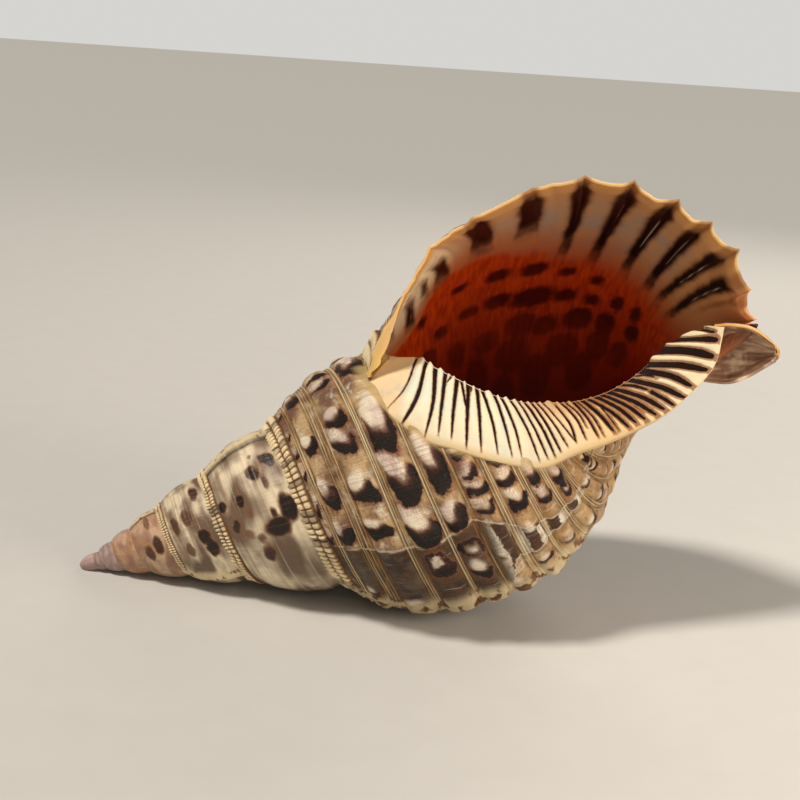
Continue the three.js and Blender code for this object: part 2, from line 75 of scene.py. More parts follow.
# run, distance along the axis, height, reach to the front
lipEdgePoints = [
    (0, 133.3, 39.7, 24), (4, 135.1, 42.5, 25.5), (10, 137.7, 46.4, 27), (17, 141.2, 51, 28.5),
    (23, 145.8, 55.8, 29.5), (37.5, 155.7, 65.2, 30.5), (58, 169.2, 77.3, 30.6), (76.5, 186, 82, 29.5),
    (91, 206.6, 85, 28.3), (105.5, 224, 83, 26.8), (120, 239, 76, 23.7), (132.5, 251.7, 65.3, 19),
    (145.5, 260.4, 54, 14.5), (158.5, 266.8, 41.6, 11.5), (168, 267.4, 26.7, 9.2), (178, 266.5, 15.7, 7.7),
    (193, 262, 9, 5),
]

lip = {
    "flareTurns": 0.17,
    "flareCurve": 2.6,
    "teeth": (4, 12, 17, 23, 37.5, 58, 76.5, 91, 105.5, 120, 132.5, 145.5, 158.5, 168, 178, 196),
    "dipRuns": (20, 76, 98, 112, 126),  # the scallops are deeper toward the canal
    "dipDepths": (0.9, 0.9, 1.7, 2.7, 3.4),
    "thickness": 1.1,
    "bladeThickness": 3.2,              # the back end of the edge is broad
    "edgeBulge": 0.5,
    "waves": 0.55,
}

# Raised spiral cords of the outside: from, to, height in mm at the mouth
cords = [
    (18, 21.2, 0.8), (25, 34, 1.7), (41.5, 56, 1.9), (60, 75.5, 2.2), (78.5, 90, 2.1), (92.5, 103, 2.0),
    (108, 118, 1.9), (122, 130.5, 1.8), (135, 143.5, 1.7), (148, 157, 1.5), (160, 166.5, 1.3),
    (169.5, 176.5, 1.2), (179.5, 187, 1.1),
]
threads = [
    16.9, 22.2, 23.8, 35.0, 36.6, 38.3, 40.2, 56.8, 58.2, 59.4, 76.2, 77.6, 91.2, 104.2, 105.7, 107.2, 118.8, 120.1,
    121.3, 131.4, 132.8, 134.2, 144.4, 145.8, 147.2, 158.4, 167.6, 168.8, 178.2,
]
oldLips = [-0.62, -1.31, -2.0, -2.66, -3.33, -4.0]


def ease(x):
    t = np.clip(x, 0, 1)
    return t * t * (3 - 2 * t)


def curveThrough(points, places):
    points = np.asarray(points, float)
    places = np.asarray(places, float)
    last = len(points) - 1
    i = np.clip(np.floor(places).astype(int), 0, last - 1)
    x = (places - i)[..., None]
    p1, p2 = points[i], points[i + 1]
    p0 = np.where((i > 0)[..., None], points[np.maximum(i - 1, 0)], 2 * p1 - p2)
    p3 = np.where((i + 2 <= last)[..., None], points[np.minimum(i + 2, last)], 2 * p2 - p1)
    square = 2 * p0 - 5 * p1 + 4 * p2 - p3
    cubic = -p0 + 3 * p1 - 3 * p2 + p3
    return 0.5 * (2 * p1 + (p2 - p0) * x + square * x ** 2 + cubic * x ** 3)


outline = curveThrough(outlinePoints, np.linspace(0, len(outlinePoints) - 1, 1201))
outlineRun = np.r_[0, np.cumsum(np.hypot(*np.diff(outline, axis=0).T))]
outlineLength = outlineRun[-1]
outlineSlope = np.gradient(outline, outlineRun, axis=0)
lipTable = np.array(lipEdgePoints, float)


# Smooth random values over a grid of places, the same on each run
def softNoise(x, y, seed):
    rng = np.random.default_rng(seed)
    table = rng.uniform(-1, 1, (128, 128))
    i, j = np.floor(x).astype(int), np.floor(y).astype(int)
    u, v = ease(x - i), ease(y - j)
    a = table[i % 128, j % 128] * (1 - u) + table[(i + 1) % 128, j % 128] * u
    b = table[i % 128, (j + 1) % 128] * (1 - u) + table[(i + 1) % 128, (j + 1) % 128] * u
    return a * (1 - v) + b * v


def lean(angle):
    return coil["leanFront"] * np.cos(angle) - coil["leanUp"] * np.sin(angle)


def smoothLipEdge(run):
    place = np.interp(run, lipTable[:, 0], np.arange(len(lipTable)))
    edge = curveThrough(lipTable, place)
    return edge[..., 1], np.hypot(edge[..., 2], edge[..., 3]), np.arctan2(-edge[..., 2], edge[..., 3])


# Edge of the outer lip with its teeth: distance along the axis, radius, angle. The dips between the
# teeth go square to the edge.
def lipEdgeAt(run):
    along, radius, angle = smoothLipEdge(run)
    stepAlong, stepRadius = [b - a for a, b in zip(smoothLipEdge(run - 2)[:2], smoothLipEdge(run + 2)[:2])]
    stepLength = np.maximum(np.hypot(stepAlong, stepRadius), 0.1)
    teeth = np.array(lip["teeth"], float)
    i = np.clip(np.searchsorted(teeth, run, side="right") - 1, 0, len(teeth) - 2)
    width = teeth[i + 1] - teeth[i]
    across = np.clip((run - teeth[i]) / width, 0, 1)
    depth = np.interp(run, lip["dipRuns"], lip["dipDepths"])
    dip = depth * np.sin(np.pi * across) ** 0.7 * ease((width - 5) / 6)
    dip = dip + lip["waves"] * softNoise(run / 2.6, run * 0 + 0.5, 41)
    return along + dip * stepRadius / stepLength, radius - dip * stepAlong / stepLength, angle


# Shell axes (along, up, front) in mm to the frame's metres
def toWorld(p):
    c, s = math.cos(coil["rise"]), math.sin(coil["rise"])
    along, up, front = p[..., 0], p[..., 1], p[..., 2]
    world = np.stack([along * c - up * s, -front, along * s + up * c], -1) + np.array(coil["offset"])
    return np.clip(world, boxLow, boxHigh) * 0.001


# A point on the whorl, lifted off the smooth outline by so many mm at the mouth's scale
def whorlPoint(turn, run, lift):
    turn, run, lift = np.broadcast_arrays(np.asarray(turn, float), np.asarray(run, float), np.asarray(lift, float))
    along0 = np.interp(run, outlineRun, outline[:, 0])
    radius0 = np.interp(run, outlineRun, outline[:, 1])
    outAlong = -np.interp(run, outlineRun, outlineSlope[:, 1])
    outRadius = np.interp(run, outlineRun, outlineSlope[:, 0])
    edgeAlong, edgeRadius, edgeAngle = lipEdgeAt(run)
    near = np.clip((turn + lip["flareTurns"]) / lip["flareTurns"], 0, 1)
    shift = (edgeAngle + 2 * np.pi - coil["lipAngle"]) / (2 * np.pi)
    trueTurn = turn + shift * ease(near)
    size = coil["growth"] ** trueTurn
    angle = coil["lipAngle"] + 2 * np.pi * trueTurn
    along = (along0 + outAlong * lift) * size
    radius = (radius0 + outRadius * lift) * size
    along = along + radius * lean(angle)
    lipSize = coil["growth"] ** shift
    spread = near ** lip["flareCurve"]
    along = along + (edgeAlong - (along0 + radius0 * lean(edgeAngle)) * lipSize) * spread
    radius = radius + (edgeRadius - radius0 * lipSize) * spread
    return np.stack([along, -radius * np.sin(angle), radius * np.cos(angle)], -1)


mmPerTurn = 377.0


# Lines across the whorl where growth stopped for a while: run, turn
scars = {
    "scar": ([0, 40, 70, 90, 120, 160, 200], [-0.77, -0.755, -0.75, -0.765, -0.72, -0.70, -0.69]),
    "break": ([0, 90, 100, 130, 160, 200], [-0.62, -0.63, -0.69, -0.694, -0.686, -0.68]),
}


# Distance in mm past a growth line, toward the mouth
def pastLine(name, turn, run):
    wave = 1.6 * softNoise(run / 11 + 3, run * 0 + 0.5, 31) + 0.7 * softNoise(run / 3.1, run * 0 + 4.5, 32)
    return (turn - np.interp(run, *scars[name])) * mmPerTurn + wave


# Rows of marks on the cords: middle and half width in mm, then from and to, in turns
markedCords = [
    (19.6, 1.7, [(-1.03, -1.0), (-0.96, -0.945), (-0.925, -0.90), (-0.885, -0.86), (-0.83, -0.80), (-0.785, -0.76)]),
    (29.5, 4.4, [(-1.035, -0.998), (-0.922, -0.893), (-0.85, -0.813), (-0.79, -0.763)]),
    (48.5, 6.9, [(-1.038, -1.018), (-1.008, -0.99), (-0.938, -0.915), (-0.905, -0.875), (-0.845, -0.812),
                 (-0.79, -0.768)]),
    (67.5, 7.3, [(-1.035, -0.983), (-0.925, -0.863), (-0.85, -0.803), (-0.79, -0.753)]),
    (84.3, 5.7, [(-0.93, -0.882), (-0.862, -0.808), (-0.79, -0.762)]),
    (97.8, 5.1, [(-0.875, -0.852), (-0.846, -0.828), (-0.822, -0.806), (-0.80, -0.786), (-0.78, -0.766)]),
    (113, 4.9, [(-0.86, -0.838), (-0.83, -0.812), (-0.803, -0.785), (-0.776, -0.752)]),
    (126.3, 4.2, [(-0.802, -0.768), (-0.762, -0.742)]),
    (139.3, 4.1, [(-0.775, -0.745)]),
    (152.5, 4.1, []),
    (163.2, 3.1, []),
    (173, 3.1, []),
    (183, 3.1, []),
]
# Closed rings after the scar: middle, half width, turn, half length in mm
ringMarks = [(67.5, 5.6, -0.727, 6.0), (84.3, 5.2, -0.732, 5.4), (48.5, 5.0, -0.49, 5.5), (67.5, 4.8, -0.47, 5.2)]
# Marks of the spire: run, half width, turn, half length in mm, strength
spireMarks = [
    (40.7, 4, -1.873, 4.2, 0.9), (58, 5, -1.914, 6, 0.8), (73, 5, -1.935, 5.5, 1), (21.5, 4.2, -1.873, 4.5, 0.95),
    (62.3, 9, -1.804, 5.8, 1), (75, 5.5, -1.832, 9, 1), (66, 1.8, -1.895, 6.5, 0.7), (63, 2.6, -1.829, 3.5, 0.7),
    (45.4, 1.8, -1.842, 3, 0.45), (28, 4, -1.822, 5, 0.8), (46, 3.5, -1.791, 4, 0.5), (47, 4.5, -1.757, 6, 0.7),
    (61, 2, -1.956, 2.6, 0.4), (36, 4, -1.80, 4, 0.35), (68, 5, -2.957, 9, 0.7), (50, 6.5, -2.885, 9, 0.55),
    (30, 4.5, -2.875, 11, 0.6), (64, 7, -2.818, 7, 0.9), (68, 6, -2.782, 8, 0.9), (40, 5, -2.79, 8, 0.5),
    (64, 8, -3.825, 14, 0.8), (42, 8, -3.80, 12, 0.7), (55, 6, -3.95, 14, 0.5),
]


def allMarks():
    rng = np.random.default_rng(21)
    marks = []
    for middle, half, known in markedCords:
        marks += [(middle, half, start, end, 1.0) for start, end in known]
        low = -1.045 if known else -0.79
        high = -0.735 if middle < 120 else (-0.70 if middle < 135 else -0.79)
        turn = -4.2
        while turn < -0.03:
            older = turn < -1.25
            turn += rng.uniform(0.05, 0.085) * (1.5 if older else (0.62 if middle > 90 else 1.0))
            length = rng.uniform(0.02, 0.042) * (1.2 if older else (0.62 if middle > 90 else 1.0))
            hidden = turn < -1.05 and middle > 78
            # the front of the spire has marks of its own
            front = older and (turn + length + 2.13) % 1 < 0.55
            if low < turn + length and turn < high or hidden or front or turn + length > -0.025:
                continue
            if rng.random() < (0.45 if older else 0.16):
                continue
            strength = rng.uniform(0.35, 0.8) if older else rng.uniform(0.75, 1.0)
            marks.append((middle, half * rng.uniform(0.75, 1.0), turn, turn + length, strength))
            turn += length * 0.6
    return marks


# Fields of the marks: how far inside the crisp edge in mm, how dark from 0 to 1, how far on the pale
# lump in mm, the brown fringe on the side of growth, and how strongly the lump rises
def markField(turn, run):
    shape = np.broadcast(turn, run).shape
    turn, run = np.broadcast_to(turn, shape), np.broadcast_to(run, shape)
    x0 = turn * mmPerTurn + 2.1 * softNoise(turn * 60 + 11, run / 5, 51)
    y0 = run + 1.5 * softNoise(turn * 60 + 3, run / 5 + 9, 52)
    dark = np.full(shape, -9.0)
    shade = np.zeros(shape)
    pale = np.full(shape, -9.0)
    trail = np.zeros(shape)
    bump = np.zeros(shape)
    rng = np.random.default_rng(77)
    for middle, half, start, end, strength in allMarks():
        length = (end - start) * mmPerTurn
        # each mark has its own slant, its lump its own place
        slant, tilt = rng.uniform(-0.25, 0.25), rng.uniform(-0.3, 0.3)
        lumpX, lumpY = rng.uniform(-0.03, 0.16), rng.uniform(0.05, 0.35)
        near = (np.abs(turn - (start + end) / 2) < (length + 16) / mmPerTurn) & (np.abs(run - middle) < half + 3)
        if not near.any():
            continue
        y = y0[near] - middle
        x = x0[near] - start * mmPerTurn - slant * y
        outer = np.abs((x - 0.5 * length) / (0.55 * length)) ** 2.6 + np.abs(y / half) ** 2.6
        lumpWay = (x - lumpX * length + tilt * y) / (0.45 * length)
        oval = np.sqrt(lumpWay ** 2 + ((y + lumpY * half) / (0.8 * half)) ** 2)
        small = min(half, 0.5 * length)
        inside = (1 - outer ** 0.38) * small
        dark[near] = np.maximum(dark[near], inside - (1 - strength) * 0.8)
        older = np.clip((x + 0.1 * length) / (0.3 * length), 0, 1)
        soft = ease((oval - 0.5) / 1.35) * older * (0.55 + 0.45 * strength)
        shade[near] = np.maximum(shade[near], soft * ease((inside + 1.2) / 1.2))
        pale[near] = np.maximum(pale[near], (1 - oval) * small)
        behind = np.clip((x - 0.75 * length) / 4, 0, 1) * np.exp(-np.clip(x - length, 0, None) / 3.5)
        trail[near] = np.maximum(trail[near], behind * np.clip(1.15 - np.abs(y / half) ** 2, 0, 1) * strength)
        bump[near] = np.maximum(bump[near], np.clip(1.3 - oval ** 2, 0, 1) * min(small / 5, 1))
    for middle, half, place, reach in ringMarks:
        r = (np.abs((x0 - place * mmPerTurn) / reach) ** 3 + np.abs((y0 - middle) / half) ** 3) ** (1 / 3)
        dark = np.maximum(dark, (0.3 - np.abs(r - 0.82)) * reach * 0.6)
        shade = np.maximum(shade, 0.6 * ease((0.5 - np.abs(r - 0.85)) / 0.3))
        pale = np.maximum(pale, (0.5 - r) * reach)
    for middle, half, place, reach, strength in spireMarks:
        r = np.sqrt(((x0 - place * mmPerTurn) / reach) ** 2 + ((y0 - middle) / half) ** 2)
        dark = np.maximum(dark, (1.35 - r) * min(reach, half) * 0.5)
        shade = np.maximum(shade, 0.9 * strength * ease((1.75 - r) / 1.0))
    return dark, shade, pale, trail, bump


# Lifts the cords, threads and older lips of the outside, in mm at the mouth's scale
def reliefAt(turn, run):
    shape = np.broadcast(turn, run).shape
    turn, run = np.broadcast_to(turn, shape), np.broadcast_to(run, shape)
    lift = np.zeros(shape)
    onCord = np.zeros(shape)
    thread = np.zeros(shape)
    for start, end, height in cords:
        x = np.abs((run - (start + end) / 2) / ((end - start) / 2))
        lift = lift + height * np.clip(1 - x ** 4, 0, None)
        onCord = np.maximum(onCord, ease((1.03 - x) / 0.2))
    for middle in threads:
        wave = 0.3 * softNoise(turn * 9 + middle, turn * 0 + 0.5, 17)
        strength = 0.75 + 0.35 * softNoise(turn * 14 + middle * 3, turn * 0 + 1.5, 18)
        line = strength * np.exp(-((run - middle - wave) / 0.45) ** 2)
        lift = lift + 0.95 * line
        thread = np.maximum(thread, line)
    # growth swellings and fine furrows across the cords
    swell = softNoise(turn * 17 + 40, run / 13 + 7, 3) + 0.5 * softNoise(turn * 46 + 90, run / 6 + 3, 4)
    furrow = softNoise(turn * 150 + 10, run / 30 + 2, 5)
    lift = lift + (0.6 * onCord + 0.1) * swell + 0.12 * furrow * onCord
    for name, height in (("scar", 0.55), ("break", 0.9)):
        past = pastLine(name, turn, run)
        step = np.where(past < 0, np.exp(np.minimum(past, 0) / 7), np.exp(-np.maximum(past, 0) / 0.8)) * height
        lift = lift + step * ease((run - 14) / 12)
    ridge = np.zeros(shape)
    for place in oldLips:
        wobble = 0.006 * softNoise(run / 9 + 5, turn * 0 + 2.5, 9)
        behind = place + wobble - turn
        older = np.clip(behind, 0, 0.075) / 0.075
        ridge = ridge + 2.8 * np.where(behind >= 0, (1 - older) ** 1.5, 0)
        ridge = ridge + 2.8 * np.where((behind < 0) & (behind > -0.006), 1 + behind / 0.006, 0)
    ridge = ridge * ease((run - 5) / 8) * (1 - 0.75 * ease((run - 110) / 40))
    young = ease((turn + 5) / 2.5)
    flat = 0.3 + 0.7 * ease((turn + 1.35) / 0.3)
    return lift * flat * young + ridge, onCord, thread, np.clip(ridge / 2.4, 0, 1)


# How close a place lies past the drop of an older lip, where a thin dark line is drawn
def crackAt(turn, run):
    crack = np.zeros(np.broadcast(turn, run).shape)
    for place in oldLips:
        wobble = 0.006 * softNoise(run / 9 + 5, turn * 0 + 2.5, 9)
        past = (turn - place - wobble) * mmPerTurn
        reach = ease((run - 8) / 6) * (1 - ease((run - 95) / 30))
        width = np.where(turn < -1.3, 2.4, 0.9)
        crack = np.maximum(crack, np.exp(-((past - 2.6) / width) ** 2) * reach)
    return crack


# Triangles between two paths that run side by side, given the share of the way at each point
def zipped(a, shareA, b, shareB):
    triangles = []
    i = j = 0
    while i + 1 < len(a) or j + 1 < len(b):
        stepA = j + 1 == len(b) or (i + 1 < len(a) and shareA[i + 1] <= shareB[j + 1])
        if stepA:
            triangles.append((a[i], a[i + 1], b[j]))
            i += 1
        else:
            triangles.append((a[i], b[j + 1], b[j]))
            j += 1
    return np.array(triangles)


# How far along a path each of its points lies, from 0 to 1
def pathShares(path):
    along = np.r_[0, np.cumsum(np.linalg.norm(np.diff(path, axis=0), axis=1))]
    return along / along[-1]


# Closed mesh from rings of points. The ends are filled around their middle, or, where band gives
# how many points lie on the front, across the thin band between front and back.
def ringMesh(name, ringPoints, attributes, band=0):
    count, size = ringPoints.shape[:2]
    points = ringPoints.reshape(-1, 3)
    i, j = np.meshgrid(np.arange(count - 1), np.arange(size), indexing="ij")
    a = i * size + j
    b = i * size + (j + 1) % size
    quads = np.stack([a, b, b + size, a + size], -1).reshape(-1, 4)
    k = np.arange(size)
    lastStart = (count - 1) * size
    if band:
        ends = []
        for ring in (ringPoints[0], ringPoints[-1]):
            shareFront, shareBack = pathShares(ring[:band]), pathShares(ring[band:][::-1])
            ends.append(zipped(k[:band], shareFront, k[band:][::-1], shareBack))
        caps = np.concatenate([ends[0][:, ::-1], ends[1] + lastStart])
        return meshFrom(name, points, quads, caps, attributes)
    middles = np.stack([ringPoints[0].mean(0), ringPoints[-1].mean(0)])
    points = np.concatenate([points, middles])
    following = (k + 1) % size
    first = np.stack([np.full(size, count * size), following, k], -1)
    final = np.stack([np.full(size, count * size + 1), lastStart + k, lastStart + following], -1)
    return meshFrom(name, points, quads, np.concatenate([first, final]), attributes)


def meshFrom(name, points, quads, triangles, attributes):
    mesh = bpy.data.meshes.new(name)
    corners = np.concatenate([quads.ravel(), triangles.ravel()]).astype(np.int32)
    sizes = np.concatenate([np.full(len(quads), 4), np.full(len(triangles), 3)]).astype(np.int32)
    mesh.vertices.add(len(points))
    mesh.vertices.foreach_set("co", np.asarray(points, np.float32).ravel())
    mesh.loops.add(len(corners))
    mesh.loops.foreach_set("vertex_index", corners)
    mesh.polygons.add(len(sizes))
    mesh.polygons.foreach_set("loop_start", np.r_[0, np.cumsum(sizes)[:-1]].astype(np.int32))
    mesh.polygons.foreach_set("loop_total", sizes)
    mesh.update(calc_edges=True)
    mesh.polygons.foreach_set("use_smooth", np.ones(len(sizes), bool))
    for label, values in attributes.items():
        values = np.asarray(values, np.float32).ravel()
        padded = np.concatenate([values, np.full(len(points) - len(values), values.mean())])
        layer = mesh.attributes.new(label, "FLOAT", "POINT")
        layer.data.foreach_set("value", padded.astype(np.float32))
    mesh.validate()
    if signedVolume(mesh) < 0:
        mesh.flip_normals()
    obj = bpy.data.objects.new(name, mesh)
    bpy.context.scene.collection.objects.link(obj)
    return obj


def signedVolume(mesh):
    mesh.calc_loop_triangles()
    corners = np.empty(len(mesh.loop_triangles) * 3, np.int32)
    mesh.loop_triangles.foreach_get("vertices", corners)
    points = np.empty(len(mesh.vertices) * 3, np.float32)
    mesh.vertices.foreach_get("co", points)
    a, b, c = points.reshape(-1, 3)[corners.reshape(-1, 3)].transpose(1, 0, 2)
    return float(np.einsum("ij,ij->i", a, np.cross(b, c)).sum())


def linear(hexColour):
    values = [int(hexColour[i:i + 2], 16) / 255 for i in (1, 3, 5)]
    return tuple(v / 12.92 if v <= 0.04045 else ((v + 0.055) / 1.055) ** 2.4 for v in values) + (1.0,)


# Adds a node; settings that are node properties are set as such, the rest go to its sockets
def addNode(tree, kind, settings=None, links=None):
    node = tree.nodes.new(kind)
    for key, value in (settings or {}).items():
        if isinstance(key, str) and hasattr(node, key):
            setattr(node, key, value)
        else:
            node.inputs[key].default_value = value
    for key, source in (links or {}).items():
        tree.links.new(source, node.inputs[key])
    return node


def newMaterial(name):
    material = bpy.data.materials.new(name)
    material.use_nodes = True
    tree = material.node_tree
    tree.nodes.clear()
    return material, tree


def attributeOut(tree, label):
    return addNode(tree, "ShaderNodeAttribute", {"attribute_name": label}).outputs["Fac"]


def mathOut(tree, operation, a, b=None, c=None):
    node = addNode(tree, "ShaderNodeMath", {"operation": operation})
    for i, value in enumerate([a, b, c]):
        if value is None:
            continue
        if isinstance(value, (int, float)):
            node.inputs[i].default_value = value
        else:
            tree.links.new(value, node.inputs[i])
    return node.outputs[0]


# Value that goes from 0 to 1 as the source goes from low to high
def rampOut(tree, source, low, high):
    settings = {"interpolation_type": "SMOOTHSTEP", 1: low, 2: high}
    return addNode(tree, "ShaderNodeMapRange", settings, {0: source}).outputs[0]


def mixOut(tree, factor, a, b, blend="MIX"):
    node = addNode(tree, "ShaderNodeMix", {"data_type": "RGBA", "blend_type": blend})
    for socket, value in ((0, factor), (6, a), (7, b)):
        if isinstance(value, (int, float)):
            node.inputs[socket].default_value = value
        elif isinstance(value, str):
            node.inputs[socket].default_value = linear(value)
        else:
            tree.links.new(value, node.inputs[socket])
    return node.outputs[2]


def noiseOut(tree, vector, scale, detail=3.0, rough=0.55, distortion=0.0):
    settings = {"Scale": scale, "Detail": detail, "Roughness": rough, "Distortion": distortion}
    return addNode(tree, "ShaderNodeTexNoise", settings, {"Vector": vector}).outputs["Fac"]


# Place on the whorl in mm, as a vector: along the coil, across it
def whorlVector(tree, alongScale=1.0, acrossScale=1.0):
    turn = mathOut(tree, "MULTIPLY", attributeOut(tree, "turn"), mmPerTurn * alongScale)
    run = mathOut(tree, "MULTIPLY", attributeOut(tree, "run"), acrossScale)
    return addNode(tree, "ShaderNodeCombineXYZ", None, {0: turn, 1: run}).outputs[0]


def objectVector(tree):
    return addNode(tree, "ShaderNodeTexCoord").outputs["Object"]


def finishMaterial(tree, colour, roughness, height, bumpMm, settings=None):
    bump = addNode(tree, "ShaderNodeBump", {"Distance": bumpMm * 0.001, "Strength": 1.0}, {"Height": height})
    shader = addNode(tree, "ShaderNodeBsdfPrincipled", {"IOR": 1.53, **(settings or {})},
                     {"Base Color": colour, "Roughness": roughness, "Normal": bump.outputs[0]})
    addNode(tree, "ShaderNodeOutputMaterial", None, {0: shader.outputs[0]})


# Weathered outside of the last whorl: mauve-cream cords with near-black flames, dull furrows with pale threads
outside = {
    "cream": "#cfb083", "mauve": "#7d5b4b", "white": "#f5e9d0", "groove": "#94682e", "grooveDark": "#33200f",
    "thread": "#f2e4be", "tan": "#7d5734", "dark": "#170b05", "plum": "#3b1c11", "shadow": "#7a5b4c",
    "fringe": "#7f431b", "stain": "#6b4c38", "shadePastScar": "#2e2118", "canalTan": "#c89a58", "glaze": "#cdb27c",
    "roll": "#e3cfa4", "rollSpot": "#6b3f1c", "paintedGlint": "#c9bdb2", "dropLine": "#26150b",
}


def lastWhorlMaterial():
    material, tree = newMaterial("weathered_last_whorl")
    place = whorlVector(tree)
    onCord = attributeOut(tree, "onCord")
    # mottled body in two close tones, with brighter patches and long soft stains
    broad = noiseOut(tree, place, 0.05, 4, 0.6)
    patches = noiseOut(tree, place, 0.12, 4, 0.6)
    colour = mixOut(tree, rampOut(tree, broad, 0.4, 0.62), outside["cream"], outside["mauve"])
    colour = mixOut(tree, mathOut(tree, "MULTIPLY", rampOut(tree, patches, 0.52, 0.68), 0.8), colour, outside["white"])
    towardCanal = rampOut(tree, attributeOut(tree, "run"), 88.0, 118.0)
    colour = mixOut(tree, mathOut(tree, "MULTIPLY", towardCanal, 0.45), colour, outside["canalTan"])
    # painted shade: the band past the scar on the lower body is darkened to stand in for shade
    colour = mixOut(tree, mathOut(tree, "MULTIPLY", attributeOut(tree, "afterScar"), 0.9), colour, outside["shadePastScar"])
    ragged = noiseOut(tree, place, 0.4, 4)
    jitter = mathOut(tree, "SUBTRACT", ragged, 0.5)
    softBlock = mathOut(tree, "MULTIPLY_ADD", jitter, 0.9, attributeOut(tree, "blocks"))
    blockColour = mixOut(tree, rampOut(tree, softBlock, 0.4, 0.62), "#fbf2dc", "#432a1d")
    colour = mixOut(tree, attributeOut(tree, "blockPart"), colour, blockColour)
    stains = noiseOut(tree, whorlVector(tree, 0.8, 1.3), 0.1, 5, 0.65)
    colour = mixOut(tree, mathOut(tree, "MULTIPLY", rampOut(tree, stains, 0.5, 0.66), 0.5), colour, outside["stain"])
    spots = noiseOut(tree, whorlVector(tree, 0.8, 1.0), 0.16, 3, 0.5)
    colour = mixOut(tree, mathOut(tree, "MULTIPLY", rampOut(tree, spots, 0.6, 0.7), 0.55), colour, outside["fringe"])
    # pale lumps, and the brown streaks that trail behind a flame
    lump = mixOut(tree, rampOut(tree, broad, 0.45, 0.58), "#fbeed8", "#e6d0c4")
    lumpPart = mathOut(tree, "MULTIPLY", rampOut(tree, attributeOut(tree, "pale"), -0.8, 2.6), 0.85)
    colour = mixOut(tree, lumpPart, colour, lump)
    fray = noiseOut(tree, whorlVector(tree, 0.5, 1.2), 0.9, 4)
    trailPart = mathOut(tree, "MULTIPLY", attributeOut(tree, "trail"), rampOut(tree, fray, 0.4, 0.62))
    colour = mixOut(tree, mathOut(tree, "MULTIPLY", trailPart, 0.85), colour, outside["fringe"])
    # furrows, darker in streaks, worn away in places
    streaks = noiseOut(tree, whorlVector(tree, 0.1, 1.8), 1.0, 4)
    furrow = mixOut(tree, rampOut(tree, streaks, 0.36, 0.6), outside["grooveDark"], outside["groove"])
    worn = noiseOut(tree, whorlVector(tree, 0.25, 0.9), 0.25, 4)
    keep = addNode(tree, "ShaderNodeMapRange", {1: 0.35, 2: 0.65, 3: 0.4, 4: 1.0}, {0: worn}).outputs[0]
    furrowPart = mathOut(tree, "MULTIPLY", mathOut(tree, "SUBTRACT", 1.0, onCord), keep)
    colour = mixOut(tree, furrowPart, colour, furrow)
    # fine growth lines, brown and pale
    lines = noiseOut(tree, whorlVector(tree, 1.0, 0.045), 0.85, 5, 0.7)
    lineShow = addNode(tree, "ShaderNodeMapRange", {3: 0.08, 4: 0.32}, {0: onCord}).outputs[0]
    colour = mixOut(tree, mathOut(tree, "MULTIPLY", rampOut(tree, lines, 0.5, 0.64), lineShow), colour, outside["tan"])
    colour = mixOut(tree, mathOut(tree, "MULTIPLY", rampOut(tree, lines, 0.43, 0.3), lineShow), colour, outside["white"])
    scarEdge = mathOut(tree, "MULTIPLY", rampOut(tree, attributeOut(tree, "afterScar"), 0.0, 0.2),
                       rampOut(tree, attributeOut(tree, "afterScar"), 0.75, 0.3))
    colour = mixOut(tree, mathOut(tree, "MULTIPLY", scarEdge, 0.5), colour, outside["white"])
    # flames: crisp brown-edged toward the mouth, fading into the lump on the older side
    edge = mathOut(tree, "MULTIPLY_ADD", jitter, 3.0, attributeOut(tree, "dark"))
    shade = attributeOut(tree, "shade")
    brownPart = mathOut(tree, "MULTIPLY", rampOut(tree, edge, -1.5, 0.1), rampOut(tree, shade, 0.15, 0.6))
    colour = mixOut(tree, mathOut(tree, "MULTIPLY", brownPart, 0.7), colour, outside["fringe"])
    softShade = mathOut(tree, "MULTIPLY_ADD", mathOut(tree, "SUBTRACT", stains, 0.5), 1.2, shade)
    depth = mathOut(tree, "MULTIPLY", rampOut(tree, edge, -0.4, 0.7), softShade)
    colour = mixOut(tree, rampOut(tree, depth, 0.06, 0.34), colour, outside["shadow"])
    colour = mixOut(tree, rampOut(tree, depth, 0.22, 0.52), colour, outside["plum"])
    colour = mixOut(tree, rampOut(tree, depth, 0.42, 0.85), colour, outside["dark"])
    threadPart = rampOut(tree, attributeOut(tree, "thread"), 0.3, 1.0)
    threadPart = mathOut(tree, "MULTIPLY", threadPart, mathOut(tree, "SUBTRACT", 0.95, depth))
    colour = mixOut(tree, threadPart, colour, outside["thread"])
    # painted highlights: small pale glints on the darkest parts of the flames
    glintNoise = noiseOut(tree, place, 2.6, 2)
    glintPart = mathOut(tree, "MULTIPLY", rampOut(tree, glintNoise, 0.68, 0.75), rampOut(tree, depth, 0.4, 0.8))
    colour = mixOut(tree, glintPart, colour, outside["paintedGlint"])
